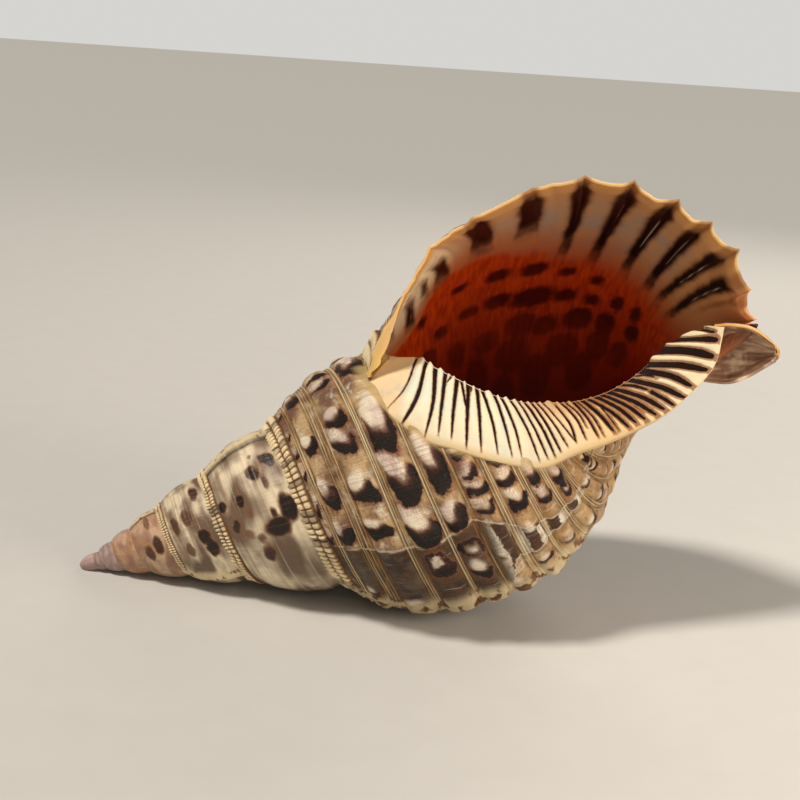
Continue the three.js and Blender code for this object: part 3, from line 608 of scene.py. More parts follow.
    # cream roll of the older lip with brown spots, a thin dark line below it, thin glaze next to the inner lip
    rollColour = mixOut(tree, rampOut(tree, spots, 0.5, 0.6), outside["roll"], outside["rollSpot"])
    rollPart = mathOut(tree, "MULTIPLY", rampOut(tree, attributeOut(tree, "roll"), 0.25, 0.7), 0.8)
    colour = mixOut(tree, rollPart, colour, rollColour)
    colour = mixOut(tree, mathOut(tree, "MULTIPLY", attributeOut(tree, "crack"), 0.9), colour, outside["dropLine"])
    colour = mixOut(tree, mathOut(tree, "MULTIPLY", attributeOut(tree, "glaze"), 0.75), colour, outside["glaze"])
    fine = noiseOut(tree, place, 1.4, 5, 0.65)
    pits = noiseOut(tree, place, 0.7, 3)
    lineHeight = addNode(tree, "ShaderNodeMapRange", {3: 0.25, 4: 1.3}, {0: onCord}).outputs[0]
    height = mathOut(tree, "ADD", mathOut(tree, "MULTIPLY", lines, lineHeight), mathOut(tree, "MULTIPLY", fine, 0.4))
    height = mathOut(tree, "ADD", height, mathOut(tree, "MULTIPLY", streaks, mathOut(tree, "MULTIPLY", furrowPart, 0.8)))
    height = mathOut(tree, "ADD", height, mathOut(tree, "MULTIPLY", pits, 0.5))
    roughness = addNode(tree, "ShaderNodeMapRange", {3: 0.3, 4: 0.55}, {0: fine}).outputs[0]
    finishMaterial(tree, colour, roughness, height, 0.75, {"Specular IOR Level": 0.24})
    return material


# Older whorls, worn smooth as if polished: ivory with soft brown blotches, pink and lilac toward the tip
older = {
    "ivory": "#e8d8ba", "shaded": "#6c5644", "line": "#85603c", "blotchSoft": "#7c5437", "blotch": "#422513",
    "core": "#1c0f08", "pale": "#f2e6cb", "wornTan": "#b98a62", "wornPink": "#a97b69", "wornLilac": "#b09391",
}


def spireMaterial(name):
    material, tree = newMaterial(name)
    place = whorlVector(tree)
    broad = noiseOut(tree, whorlVector(tree, 0.3, 0.6), 0.07, 2, 0.4)
    colour = mixOut(tree, rampOut(tree, broad, 0.37, 0.62), older["ivory"], older["shaded"])
    # faint spiral lines, stronger next to the seam
    bands = noiseOut(tree, whorlVector(tree, 0.02, 1.0), 0.3, 3)
    nearSeam = addNode(tree, "ShaderNodeMapRange", {1: 18.0, 2: 60.0, 3: 0.6, 4: 0.18}, {0: attributeOut(tree, "run")})
    bandPart = mathOut(tree, "MULTIPLY", rampOut(tree, bands, 0.5, 0.66), nearSeam.outputs[0])
    colour = mixOut(tree, bandPart, colour, older["line"])
    colour = mixOut(tree, mathOut(tree, "MULTIPLY", rampOut(tree, bands, 0.42, 0.3), 0.3), colour, older["pale"])
    mottle = noiseOut(tree, place, 0.07, 2, 0.4)
    colour = mixOut(tree, mathOut(tree, "MULTIPLY", rampOut(tree, mottle, 0.42, 0.75), 0.6), colour, older["shaded"])
    age = attributeOut(tree, "worn")
    patches = noiseOut(tree, place, 0.06, 2)
    wornColour = mixOut(tree, rampOut(tree, patches, 0.4, 0.65), older["wornTan"], older["wornPink"])
    wornColour = mixOut(tree, rampOut(tree, age, 0.8, 1.0), wornColour, older["wornLilac"])
    colour = mixOut(tree, mathOut(tree, "MULTIPLY", rampOut(tree, age, 0.02, 0.5), 0.75), colour, wornColour)
    # blotches with a darker core, blurred at the edge
    blur = mathOut(tree, "MULTIPLY_ADD", mathOut(tree, "SUBTRACT", noiseOut(tree, place, 0.2, 3), 0.5), 1.6,
                   attributeOut(tree, "dark"))
    shade = attributeOut(tree, "shade")
    depth = mathOut(tree, "MULTIPLY", rampOut(tree, blur, -1.4, 1.5), shade)
    depth = mathOut(tree, "MULTIPLY", depth, mathOut(tree, "SUBTRACT", 1.0, mathOut(tree, "MULTIPLY", age, 0.5)))
    colour = mixOut(tree, mathOut(tree, "MULTIPLY", rampOut(tree, depth, 0.02, 0.3), 0.8), colour, older["blotchSoft"])
    colour = mixOut(tree, rampOut(tree, depth, 0.2, 0.6), colour, older["blotch"])
    colour = mixOut(tree, rampOut(tree, depth, 0.5, 0.85), colour, older["core"])
    spots = noiseOut(tree, whorlVector(tree, 0.8, 1.0), 0.12, 2)
    rollColour = mixOut(tree, rampOut(tree, spots, 0.55, 0.66), outside["roll"], outside["rollSpot"])
    rollPart = mathOut(tree, "MULTIPLY", rampOut(tree, attributeOut(tree, "roll"), 0.2, 0.6), 0.85)
    colour = mixOut(tree, rollPart, colour, rollColour)
    colour = mixOut(tree, mathOut(tree, "MULTIPLY", attributeOut(tree, "crack"), 0.9), colour, outside["dropLine"])
    lines = noiseOut(tree, whorlVector(tree, 1.0, 0.045), 0.4, 4, 0.6)
    colour = mixOut(tree, mathOut(tree, "MULTIPLY", rampOut(tree, lines, 0.5, 0.7), 0.2), colour, older["line"])
    fine = noiseOut(tree, place, 1.0, 4)
    height = mathOut(tree, "ADD", mathOut(tree, "MULTIPLY", bands, 1.2), mathOut(tree, "MULTIPLY", lines, 0.6))
    height = mathOut(tree, "ADD", height, mathOut(tree, "MULTIPLY", fine, 0.15))
    roughness = addNode(tree, "ShaderNodeMapRange", {3: 0.3, 4: 0.46}, {0: fine}).outputs[0]
    finishMaterial(tree, colour, roughness, height, 0.5, {"Specular IOR Level": 0.35})
    return material


# Short ribs along the seam: cream on their tops, brown on their sides and darker brown between them
beads = {"top": "#eddbb2", "side": "#b08656", "gap": "#5e4026", "dark": "#3d2418", "worn": "#b98e69"}


def seamMaterial():
    material, tree = newMaterial("beaded_shell_seam")
    place = whorlVector(tree)
    top = attributeOut(tree, "top")
    colour = mixOut(tree, rampOut(tree, top, 0.1, 0.35), beads["gap"], beads["side"])
    colour = mixOut(tree, rampOut(tree, top, 0.28, 0.6), colour, beads["top"])
    stained = mathOut(tree, "MULTIPLY", rampOut(tree, attributeOut(tree, "dark"), -1.4, 0.9), 0.7)
    colour = mixOut(tree, stained, colour, beads["dark"])
    colour = mixOut(tree, mathOut(tree, "MULTIPLY", rampOut(tree, attributeOut(tree, "worn"), 0.0, 0.5), 0.6), colour,
                    beads["worn"])
    fine = noiseOut(tree, place, 1.2, 4)
    colour = mixOut(tree, mathOut(tree, "MULTIPLY", rampOut(tree, fine, 0.5, 0.7), 0.3), colour, beads["side"])
    roughness = addNode(tree, "ShaderNodeMapRange", {3: 0.35, 4: 0.55}, {0: fine}).outputs[0]
    finishMaterial(tree, colour, roughness, fine, 0.3, {"Specular IOR Level": 0.35})
    return material


# Polished lining: peach lip with dark bars that run to its teeth, deep orange-red throat
lining = {
    "pillarGrowth": 5, "lip": "#cb9461", "grey": "#a89488", "rim": "#dd9d52", "rimPale": "#efcb8d",
    "bar": "#1d0c08", "barSoft": "#74381a", "streakAndHighlight": "#ab9284", "throat": "#d4480f", "throatRed": "#a62a0b",
    "throatDeep": "#7c1d0a", "blotch": "#380908", "blush": "#c05f30", "canal": "#7d4630",
    "canalPale": "#93604a", "paintedLightCream": "#fff0c4", "amber": "#ecc67e", "salmon": "#e2905c",
}


def liningMaterial():
    material, tree = newMaterial("polished_shell_lining")
    place = whorlVector(tree)
    depth = attributeOut(tree, "depth")
    throatIn = attributeOut(tree, "throatIn")
    wave = noiseOut(tree, place, 0.12, 3)
    # cream-yellow rim, peach face, greyer between the bars
    colour = mixOut(tree, rampOut(tree, depth, -0.3, 0.6), lining["rimPale"], lining["rim"])
    colour = mixOut(tree, rampOut(tree, depth, 0.8, 3.2), colour, lining["lip"])
    run = attributeOut(tree, "run")
    greyRuns = mathOut(tree, "MULTIPLY", rampOut(tree, run, 50.0, 75.0), rampOut(tree, run, 160.0, 140.0))
    greyPart = mathOut(tree, "MULTIPLY", rampOut(tree, depth, 6.0, 20.0), rampOut(tree, wave, 0.25, 0.7))
    greyPart = mathOut(tree, "MULTIPLY", greyPart, greyRuns)
    colour = mixOut(tree, mathOut(tree, "MULTIPLY", greyPart, 0.8), colour, lining["grey"])
    # the back end of the lip face, turned away from the key lamp, is lifted to a pale cream: its own cream with painted
    # light on top
    paintedLightLeft = mathOut(tree, "MULTIPLY", rampOut(tree, run, 66.0, 48.0), rampOut(tree, throatIn, -2.0, -14.0))
    paintedLightLeft = mathOut(tree, "MULTIPLY", paintedLightLeft, rampOut(tree, depth, 0.5, 7.0))
    colour = mixOut(tree, mathOut(tree, "MULTIPLY", paintedLightLeft, 0.8), colour, lining["paintedLightCream"])
    colour = mixOut(tree, rampOut(tree, run, 19.0, 13.0), colour, lining["amber"])
    colour = mixOut(tree, mathOut(tree, "MULTIPLY", rampOut(tree, run, 160.0, 174.0), 0.6), colour, lining["salmon"])
    blush = mathOut(tree, "MULTIPLY", rampOut(tree, throatIn, -26.0, -2.0), 0.75)
    colour = mixOut(tree, blush, colour, lining["blush"])
    # bars, soft-edged, each with a thin pale streak where it is double, partly a painted highlight along its ridge
    haze = mathOut(tree, "MULTIPLY_ADD", mathOut(tree, "SUBTRACT", wave, 0.5), 3.0, attributeOut(tree, "halo"))
    colour = mixOut(tree, mathOut(tree, "MULTIPLY", rampOut(tree, haze, -1.8, 1.0), 0.6), colour, lining["barSoft"])
    blur = mathOut(tree, "MULTIPLY_ADD", mathOut(tree, "SUBTRACT", wave, 0.5), 2.5, attributeOut(tree, "bar"))
    colour = mixOut(tree, rampOut(tree, blur, -0.6, 1.5), colour, lining["bar"])
    colour = mixOut(tree, rampOut(tree, attributeOut(tree, "streakAndHighlight"), -0.2, 0.35), colour, lining["streakAndHighlight"])
    # throat: orange-red, streaked, darker inward, with rows of near-black blotches
    shifted = mathOut(tree, "MULTIPLY_ADD", mathOut(tree, "SUBTRACT", noiseOut(tree, place, 0.09, 3), 0.5), 6.0, throatIn)
    streaks = noiseOut(tree, whorlVector(tree, 0.12, 0.5), 1.0, 4)
    throat = mixOut(tree, rampOut(tree, streaks, 0.3, 0.75), lining["throat"], lining["throatRed"])
    throat = mixOut(tree, rampOut(tree, shifted, 10.0, 75.0), throat, lining["throatDeep"])
    ragged = mathOut(tree, "MULTIPLY_ADD", mathOut(tree, "SUBTRACT", noiseOut(tree, place, 0.4, 4), 0.5), 3.0,
                     attributeOut(tree, "blotch"))
    # the rows further in are faint and run into each other
    faint = addNode(tree, "ShaderNodeMapRange", {1: 26.0, 2: 44.0, 3: 0.9, 4: 0.5}, {0: throatIn}).outputs[0]
    softRows = mathOut(tree, "MULTIPLY", rampOut(tree, ragged, -1.6, 1.2), faint)
    throat = mixOut(tree, softRows, throat, lining["blotch"])
    soft = mathOut(tree, "DIVIDE", shifted, attributeOut(tree, "throatSoft"))
    colour = mixOut(tree, rampOut(tree, soft, -0.5, 0.5), colour, throat)
    # the lining beside the canal is dark reddish brown: its own colour darkened by painted shade
    lines = noiseOut(tree, place, 0.35, 4)
    shadedCanalColour = mixOut(tree, rampOut(tree, lines, 0.4, 0.6), lining["canal"], lining["canalPale"])
    colour = mixOut(tree, attributeOut(tree, "canalPart"), colour, shadedCanalColour)
    fine = noiseOut(tree, place, 1.2, 4)
    roughness = addNode(tree, "ShaderNodeMapRange", {3: 0.26, 4: 0.4}, {0: fine}).outputs[0]
    gloss = {"Coat Weight": 0.12, "Specular IOR Level": 0.4}
    finishMaterial(tree, colour, roughness, mathOut(tree, "MULTIPLY", fine, 0.5), 0.15, gloss)
    return material


# Enamel-like inner lip: raised cream folds with dark brown lines sunk between them
inner = {
    "cream": "#e9ddbf", "cool": "#d6dac8", "line": "#190705", "lineSoft": "#7c4018", "tan": "#dcbf90",
    "margin": "#c9ac7c", "warm": "#b07f4e", "canalSide": "#dfcfab", "callus": "#e6cba2", "blue": "#a9b3ad",
}


def innerLipMaterial():
    material, tree = newMaterial("enamelled_inner_lip")
    place = objectVector(tree)
    across = attributeOut(tree, "across")
    station = attributeOut(tree, "station")
    line = attributeOut(tree, "line")
    broad = noiseOut(tree, place, 90.0, 3)
    cream = mixOut(tree, rampOut(tree, broad, 0.42, 0.62), inner["cream"], inner["cool"])
    front = mixOut(tree, rampOut(tree, station, 9.0, 17.0), cream, inner["tan"])
    crowded = mathOut(tree, "MULTIPLY", rampOut(tree, station, 10.0, 15.0), rampOut(tree, across, 0.45, 0.05))
    front = mixOut(tree, mathOut(tree, "MULTIPLY", crowded, 0.7), front, inner["warm"])
    front = mixOut(tree, mathOut(tree, "MULTIPLY", rampOut(tree, across, 0.82, 1.0), 0.85), front, inner["margin"])
    front = mixOut(tree, rampOut(tree, station, 17.5, 21.5), front, inner["canalSide"])
    callusPart = rampOut(tree, station, 2.6, 1.9)
    callus = mixOut(tree, rampOut(tree, broad, 0.45, 0.7), inner["callus"], inner["blue"])
    front = mixOut(tree, callusPart, front, callus)
    wave = noiseOut(tree, place, 700.0, 3)
    edge = mathOut(tree, "MULTIPLY_ADD", mathOut(tree, "SUBTRACT", wave, 0.5), 0.5, line)
    softEdge = mathOut(tree, "MULTIPLY_ADD", rampOut(tree, station, 14.0, 19.0), 0.45, edge)
    colour = mixOut(tree, mathOut(tree, "MULTIPLY", rampOut(tree, softEdge, -0.5, 0.05), 0.8), front, inner["lineSoft"])
    linePart = rampOut(tree, edge, -0.08, 0.2)
    colour = mixOut(tree, linePart, colour, inner["line"])
    colour = mixOut(tree, rampOut(tree, attributeOut(tree, "back"), 0.1, 0.6), colour, "#6b2410")
    roughness = addNode(tree, "ShaderNodeMapRange", {3: 0.36, 4: 0.5}, {0: wave}).outputs[0]
    roughness = mathOut(tree, "MULTIPLY_ADD", linePart, 0.2, roughness)
    finishMaterial(tree, colour, roughness, wave, 0.08, {"Specular IOR Level": 0.1})
    return material


# Worn end of the canal: brown-lilac, with crowded growth lines, painted shade under the upper rim, and an orange-cream
# rim brightened in part by painted light
canal = {
    "base": "#ad8b74", "pale": "#dcc2a2", "rim": "#f0b76c", "dark": "#805c4a", "deep": "#5a3022",
}


def canalMaterial():
    material, tree = newMaterial("worn_canal_shell")
    along = attributeOut(tree, "along")
    across = attributeOut(tree, "across")
    rim = attributeOut(tree, "rim")
    vector = addNode(tree, "ShaderNodeCombineXYZ", None, {0: along, 1: across}).outputs[0]
    stretched = addNode(tree, "ShaderNodeMapping", {"Scale": (1.8, 5.5, 1.0)}, {"Vector": vector}).outputs[0]
    lines = noiseOut(tree, stretched, 1.6, 4, 0.5, 0.3)
    colour = mixOut(tree, rampOut(tree, lines, 0.3, 0.7), canal["dark"], canal["base"])
    colour = mixOut(tree, rampOut(tree, lines, 0.46, 0.72), colour, canal["pale"])
    # painted shade: a darker patch under the upper rim, near the start of the canal
    underRimShade = mathOut(tree, "MULTIPLY", rampOut(tree, along, 0.42, 0.15), rampOut(tree, across, 0.55, 0.8))
    colour = mixOut(tree, underRimShade, colour, canal["deep"])
    # the orange-cream rim: its own colour, brightened in part as painted light shining through the thin edge
    colour = mixOut(tree, rampOut(tree, rim, 0.3, 0.7), colour, canal["rim"])
    roughness = addNode(tree, "ShaderNodeMapRange", {3: 0.3, 4: 0.5}, {0: lines}).outputs[0]
    finishMaterial(tree, colour, roughness, lines, 0.5, {"Specular IOR Level": 0.4})
    return material


def dress(obj, material):
    obj.data.materials.append(material)
    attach(obj, "root")
    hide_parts("shell")


# How far along the outline the outside shows before the inner lip covers it
coverTurns = [-1.4, -0.97, -0.905, -0.865, -0.845, -0.818, -0.79, -0.765, -0.74, 0.1]
coverRuns = [90, 88, 88, 93, 102, 121, 140, 165, outlineLength, outlineLength]
glazeRuns = [68, 75, 85, 95, 115, 134, 193]
glazeTurns = [-0.96, -0.905, -0.865, -0.845, -0.818, -0.783, -0.74]


def teethInside(low, high):
    teeth = np.array(lip["teeth"], float)
    return teeth[(teeth > low + 0.5) & (teeth < high - 0.5)]


# Columns of the hidden side, from the canal to the seam, as shares: closer where the lip is scalloped
def toothedShares(low, high):
    teeth = lip["teeth"]
    runs = [low, high]
    for start, end in zip(teeth[:-1], teeth[1:]):
        shares = (0, 0.1, 0.28, 0.5, 0.72, 0.9) if end - start > 7 else (0, 0.5)
        runs += [start + (end - start) * share for share in shares]
    runs = np.unique([run for run in runs if low <= run <= high])
    return ((runs - low) / (high - low))[::-1]


def whorlRings(turns, runFrom, runLimit, columns, backShare, skin):
    # columns lie closer at the threads, and past the limit they draw together under the inner lip
    fine = np.linspace(runFrom, runLimit.max(), 3000)
    density = 1 + 2.0 * np.exp(-(np.abs(fine[:, None] - np.array(threads)[None, :]).min(1) / 0.9) ** 2)
    place = np.r_[0, np.cumsum((density[1:] + density[:-1]) / 2)]
    grid = np.interp(np.linspace(0, place[-1], columns), place, fine)
    for tooth in teethInside(runFrom, runLimit.max()):
        grid[np.argmin(np.abs(grid - tooth))] = tooth
    grid = grid[None, :]
    turn = turns[:, None] + 0 * grid
    run = np.minimum(grid, runLimit[:, None]) + 0.015 * np.maximum(grid - runLimit[:, None], 0)
    lift, onCord, thread, roll = reliefAt(turn, run)
    dark, shade, pale, trail, bump = markField(turn, run)
    lift = lift - 0.9 + 1.1 * bump * ease((turn + 1.4) / 0.2)
    near = np.clip((turn + lip["flareTurns"]) / lip["flareTurns"], 0, 1)
    lift = lift * (1 - 0.75 * near)
    # kept low where the edge of the lip hides it
    lift = lift - 0.6 * ease((42 - run) / 18) * ease((turn + 0.4) / 0.2)
    edge = np.interp(run, glazeRuns, glazeTurns)
    glaze = ease((edge + 0.012 - turn) / 0.014) * ease((run - 66) / 6) * (turn > -1.0)
    lift = lift * (1 - 0.6 * glaze) - 0.5 * glaze * ease((edge - 0.004 - turn) / 0.02)
    front = whorlPoint(turn, run, lift)
    backRun = runFrom + (run[:, -1:] - runFrom) * backShare[None, :]
    backNear = np.clip((turns[:, None] + 0.06) / 0.06, 0, 1)
    backLift = -skin * (1 - 0.55 * backNear) - 0.6 * ease((42 - backRun) / 18) * ease((turns[:, None] + 0.4) / 0.2)
    back = whorlPoint(turns[:, None], backRun, backLift)
    worn = ease((-2.3 - turn) / 3.6)
    after = ease(pastLine("scar", turn, run) / 2) * ease(-pastLine("break", turn, run) / 2)
    inBlocks = after * ease((run - 92) / 8) * (1 - ease((run - 160) / 8))
    blocks = (np.sin((run - 122) / 12.5 * 2 * np.pi + 0.9 * softNoise(turn * 40, run / 14, 61)) + 1) / 2
    fields = {
        "turn": turn, "run": run, "dark": dark, "shade": shade * (1 - inBlocks), "pale": pale, "trail": trail,
        "onCord": onCord, "thread": thread, "glaze": glaze, "worn": worn, "afterScar": after, "blocks": blocks, "blockPart": inBlocks, "crack": crackAt(turn, run),
        "roll": roll,
    }
    pad = np.zeros((len(turns), len(backShare)))
    fields = {key: np.concatenate([value, pad], 1) for key, value in fields.items()}
    return toWorld(np.concatenate([front, back], 1)), fields


print("stage: outside of the last whorl")
seamTurn = -1.303
lastTurns = np.linspace(seamTurn, -0.003, 370)
lastLimit = np.interp(lastTurns, coverTurns, coverRuns)
points, fields = whorlRings(lastTurns, 9.0, lastLimit, 188, toothedShares(9.0, outlineLength), 1.3)
lastWhorl = ringMesh("last_whorl", points, fields, 188)

print("stage: spire")
spireTurns = np.linspace(-7.0, seamTurn, 900)
points, fields = whorlRings(spireTurns, 7.0, np.full(900, 96.0), 96, np.linspace(1, 0, 12), 2.5)
spire = ringMesh("spire", points, fields, 96)

print("stage: beaded seam")
seam = {"beadsPerTurn": 94, "rowsPerBead": 9, "from": 2.5, "to": 17.8, "height": 2.2, "oldest": -3.6}


# Two rows of short ribs that follow the seam
def seamRings():
    count = int(-seam["oldest"] * seam["beadsPerTurn"] * seam["rowsPerBead"])
    turns = np.linspace(seam["oldest"], 0, count)
    turn = turns[:, None]
    run = np.linspace(seam["from"], seam["to"], 34)[None, :]
    drift = 0.6 * softNoise(turn * 31 + 5, run / 16, 71) + 0.03 * (run - 8)
    index = np.floor(turn * seam["beadsPerTurn"] + drift)
    size = 0.8 + 0.4 * softNoise(index * 0.37 + 3, run / 8, 72)
    rib = 1 - np.abs(2 * ((turn * seam["beadsPerTurn"] + drift) % 1) - 1) ** 2.6
    # the groove between the two rows wanders
    groove = 11.9 + 0.7 * softNoise(turn * 40 + 9, run * 0 + 0.5, 74)
    longRow = np.clip(1 - np.abs((run - groove + 4.0) / 4.1) ** 3, 0, None)
    shortRow = np.clip(1 - np.abs((run - groove - 2.8) / 2.7) ** 3, 0, None)
    rows = longRow + 0.8 * shortRow
    near = np.clip((turn + lip["flareTurns"]) / lip["flareTurns"], 0, 1)
    fade = (1 - 0.7 * near) * ease((turn - seam["oldest"]) / 0.5)
    lift = (0.35 * np.clip(rows * 1.6, 0, 1) + seam["height"] * rib * size * rows) * fade
    lift = lift - 0.9 * ease((run - 16.8) / 1.0) - 0.5 * ease((3.6 - run) / 1.1)
    front = whorlPoint(turn, run, lift)
    backRun = np.linspace(seam["to"], seam["from"], 5)[None, :]
    back = whorlPoint(turn, backRun, -1.4)
    field = np.zeros(lift.shape)
    mark, markShade = markField(turn + field, 19.6 + field)[:2]
    stain = softNoise(turn * 30 + 2, run / 6, 73) * 2.2 - 1.9
    fields = {
        "turn": turn + field, "run": run + field, "dark": np.maximum(np.where(markShade > 0.3, mark, -9), stain) + field,
        "top": rib * rows + field, "worn": ease((-2.3 - turn) / 3.6) + field,
    }
    pad = np.zeros((count, 5))
    fields = {key: np.concatenate([value, pad], 1) for key, value in fields.items()}
    return toWorld(np.concatenate([front, back], 1)), fields


points, fields = seamRings()
beadedSeam = ringMesh("beaded_seam", points, fields, 34)

dress(lastWhorl, lastWhorlMaterial())
dress(spire, spireMaterial("smooth_worn_spire"))
dress(beadedSeam, seamMaterial())

print("stage: lining and lip")
hollowSide = [
    (262, 14), (255, 7), (240, 3), (222, 1.5), (205, 1), (190, 2), (180, 5.5), (172, 11.5), (163, 20.5),
    (154, 30), (145, 37), (139, 42),
]


def sideCurve(turn, first, last, sink):
    places = np.linspace(175, 12, len(hollowSide))
    _, _, edgeAngle = lipEdgeAt(places)
    near = np.clip((turn + lip["flareTurns"]) / lip["flareTurns"], 0, 1)
    shift = (edgeAngle + 2 * np.pi - coil["lipAngle"]) / (2 * np.pi) * ease(near)
    trueTurn = turn + shift
    size = coil["growth"] ** trueTurn
    angle = coil["lipAngle"] + 2 * np.pi * trueTurn
    side = np.array(hollowSide, float)
    swell = lining["pillarGrowth"] * max(-turn - 0.05, 0) * ease((side[:, 0] - 165) / 30)
    radius = side[:, 1] * size + swell - sink
    along = side[:, 0] * size + radius * lean(angle)
    curve = np.stack([along, -radius * np.sin(angle), radius * np.cos(angle)], -1)
    curve = np.concatenate([first[None], curve, last[None]])
    return curveThrough(curve, np.linspace(0, len(curve) - 1, 66)[1:-1])


# Bars of the lip face: run at the lip and at the far end, half width, end turn, how double it is, and
# how many mm in its dark part starts
bars = [
    (22, 26, 1.8, -0.15, 0, 42), (31.5, 37, 2.6, -0.165, 0.8, 32), (41, 43.5, 2.0, -0.125, 0.8, 24),
    (50.5, 52, 3.6, -0.118, 0, 15), (74, 69.5, 4.4, -0.085, 0, 1.4), (90.5, 87, 3.7, -0.085, 0, 1.4),
    (105.3, 103.8, 3.4, -0.135, 0, 1.4), (120.3, 117.2, 3.6, -0.15, 0.3, 1.4), (132.2, 132.5, 3.4, -0.155, 1, 2),
    (144.6, 144.5, 3.2, -0.155, 1, 3), (157.2, 152, 2.9, -0.165, 1, 4), (164.8, 159.5, 2.5, -0.175, 1, 5.5),
    (170.5, 166, 2.2, -0.13, 0, 70),
]

wallRuns = np.unique(np.r_[np.linspace(1.5, 181, 232), teethInside(1.5, 181)])
cavityTurns = np.r_[np.linspace(-0.85, -0.18, 110, endpoint=False), np.linspace(-0.18, 0, 90)]


def liningRing(turn, lift, sink=0.0):
    wall = whorlPoint(np.full(wallRuns.shape, turn), wallRuns, lift)
    return np.concatenate([wall, sideCurve(turn, wall[-1], wall[0], sink)])


edgeThickness = ease((34 - wallRuns) / 16) * ease((wallRuns - 1) / 12) * lip["bladeThickness"] + lip["thickness"]
ringList, depthList = [], []
for turn in cavityTurns:
    wallThickness = np.interp(turn, [-0.3, -0.1, -0.02], [3.4, 2.6, 2.2])
    wallThickness = wallThickness + (edgeThickness - wallThickness) * ease((turn + 0.016) / 0.016)
    # low folds under the bars, sharper where a bar is double
    fold = np.zeros(wallRuns.shape)
    for atLip, atEnd, half, end, double, start in bars:
        fade = np.clip(turn / end, 0, 1)
        offset = wallRuns - atLip - (atEnd - atLip) * fade
        rise = np.sin(np.pi * np.clip((turn / end) ** 0.6, 0, 1))
        ridge = 0.7 * np.exp(-(offset / 3.0) ** 2) + 0.35 * double * np.exp(-((offset - 0.5) / 0.6) ** 2)
        fold += rise * ridge * (0.3 if atLip < 80 else 1)
    ringList.append(liningRing(turn, -wallThickness - fold))
    depthList.append(turn)
growthWay = ringList[-1] - ringList[-3]
growthWay = growthWay / np.linalg.norm(growthWay, axis=1, keepdims=True)
for step in range(1, 8):
    bend = math.pi * step / 8
    lift = -edgeThickness * (1 + math.cos(bend)) / 2
    ringList.append(liningRing(0.0, lift) + growthWay * lip["edgeBulge"] * math.sin(bend))
    depthList.append(0)
backPlaces = [(0, 0.05), (-0.005, 0.1), (-0.010, -0.5), (-0.03, -1.5)]
backPlaces += [(turn, -1.7) for turn in np.arange(-0.055, -0.845, -0.025)]
for turn, lift in backPlaces:
    ringList.append(liningRing(turn, lift, 1.2))
    depthList.append(turn)
liningPoints = np.array(ringList)
turnField = np.array(depthList)[:, None] + np.zeros(liningPoints.shape[1])[None, :]
runField = np.concatenate([wallRuns, np.linspace(188, 320, 64)])[None, :] + np.zeros(len(ringList))[:, None]
onWall = (runField < 184).astype(float)

# Blotches of the throat: run, half width, turn, half length in mm
blotchRows = [
    (61, 3.2, -0.143, 2.2), (78.3, 5.2, -0.146, 3.2), (94.2, 5.6, -0.151, 3.6), (108.9, 3.6, -0.162, 2.4),
    (123, 3.2, -0.174, 2.4), (67, 5, -0.187, 2.6), (80, 6.5, -0.185, 3.4), (96, 10, -0.191, 4.6),
    (110.5, 5.5, -0.195, 3.0), (123, 3.8, -0.201, 2.6), (135.3, 3.2, -0.2, 3.8), (145.5, 3.0, -0.206, 4.5),
    (43.5, 2.2, -0.164, 3.4), (54, 3.4, -0.197, 3.0), (92, 7, -0.223, 5.0), (103, 6, -0.229, 4.2),
    (118.5, 7, -0.226, 5.0), (76, 6, -0.232, 4.4), (132, 5, -0.231, 5.5), (147, 4, -0.235, 5), (62, 4, -0.235, 6),
    (89, 8, -0.255, 7), (112, 8, -0.262, 7), (130, 6, -0.26, 7), (72, 5, -0.268, 8), (100, 7, -0.285, 9),
    (122, 7, -0.29, 8), (84, 6, -0.30, 9), (48, 4, -0.225, 5), (142, 5, -0.27, 7),
]
throatRuns = [10, 30, 37, 42, 46, 50, 58, 66, 74, 87, 102, 117, 142, 160, 178]
throatTurns = [-0.185, -0.178, -0.168, -0.155, -0.13, -0.117, -0.105, -0.1, -0.103, -0.118, -0.134, -0.143,
               -0.162, -0.187, -0.20]
throatWidths = [2, 2, 2, 2, 2, 2.5, 4, 6, 7, 10, 14, 16, 18, 20, 22]


def liningFields(turn, run):
    bar = np.full(turn.shape, -9.0)
    halo = np.full(turn.shape, -9.0)
    streakAndHighlight = np.full(turn.shape, -9.0)
    depth = -turn * mmPerTurn
    for atLip, atEnd, half, end, double, start in bars:
        reach = -end * mmPerTurn
        fade = np.clip(depth / reach, 0, 1)
        offset = np.abs(run - atLip - (atEnd - atLip) * fade)
        patch = atLip < 95
        width = 1.1 * half * (0.45 + 0.55 * ease((depth - 2) / 5)) * (1 - (0.0 if patch else 0.5) * fade)
        inside = np.minimum(width - offset, (reach - depth) * (0.16 if patch else 0.1))
        inside = inside * (0.62 if atLip < 60 else 1)
        # the small patches at the back have a soft brown side toward the edge only
        if atLip < 60:
            halo = np.maximum(halo, np.minimum(inside - 1.1, (depth - 0.45 * start) * 0.12 - 0.9))
        else:
            halo = np.maximum(halo, np.minimum(inside, (depth - 1.4) * 0.8) - (1.3 if start > 60 else 0))
            # the teeth have brown tips
            halo = np.maximum(halo, np.minimum(2.8 - 1.5 * np.abs(run - atLip), (4.4 - depth) * 0.8))
        bar = np.maximum(bar, np.minimum(inside, (depth - start) * (0.14 if start > 10 else 0.4)))
        # the pale streak in a double bar is partly a painted highlight along its ridge
        if double:
            thin = 0.3 * double - np.abs(run - atLip - (atEnd - atLip) * fade - 0.5)
            middle = np.minimum(depth - 0.6 * reach, 0.9 * reach - depth) if patch else np.minimum(depth - 14, 0.62 * reach - depth)
            streakAndHighlight = np.maximum(streakAndHighlight, np.minimum(thin, middle * 0.12))
    blotch = np.full(turn.shape, -9.0)
    for middle, half, place, length in blotchRows:
        x = (turn - place) * mmPerTurn / length
        y = (run - middle) / half
        blotch = np.maximum(blotch, (1 - (np.abs(x) ** 2.4 + np.abs(y) ** 2.4) ** 0.42) * min(length, half))
    return bar, halo, streakAndHighlight, blotch, depth


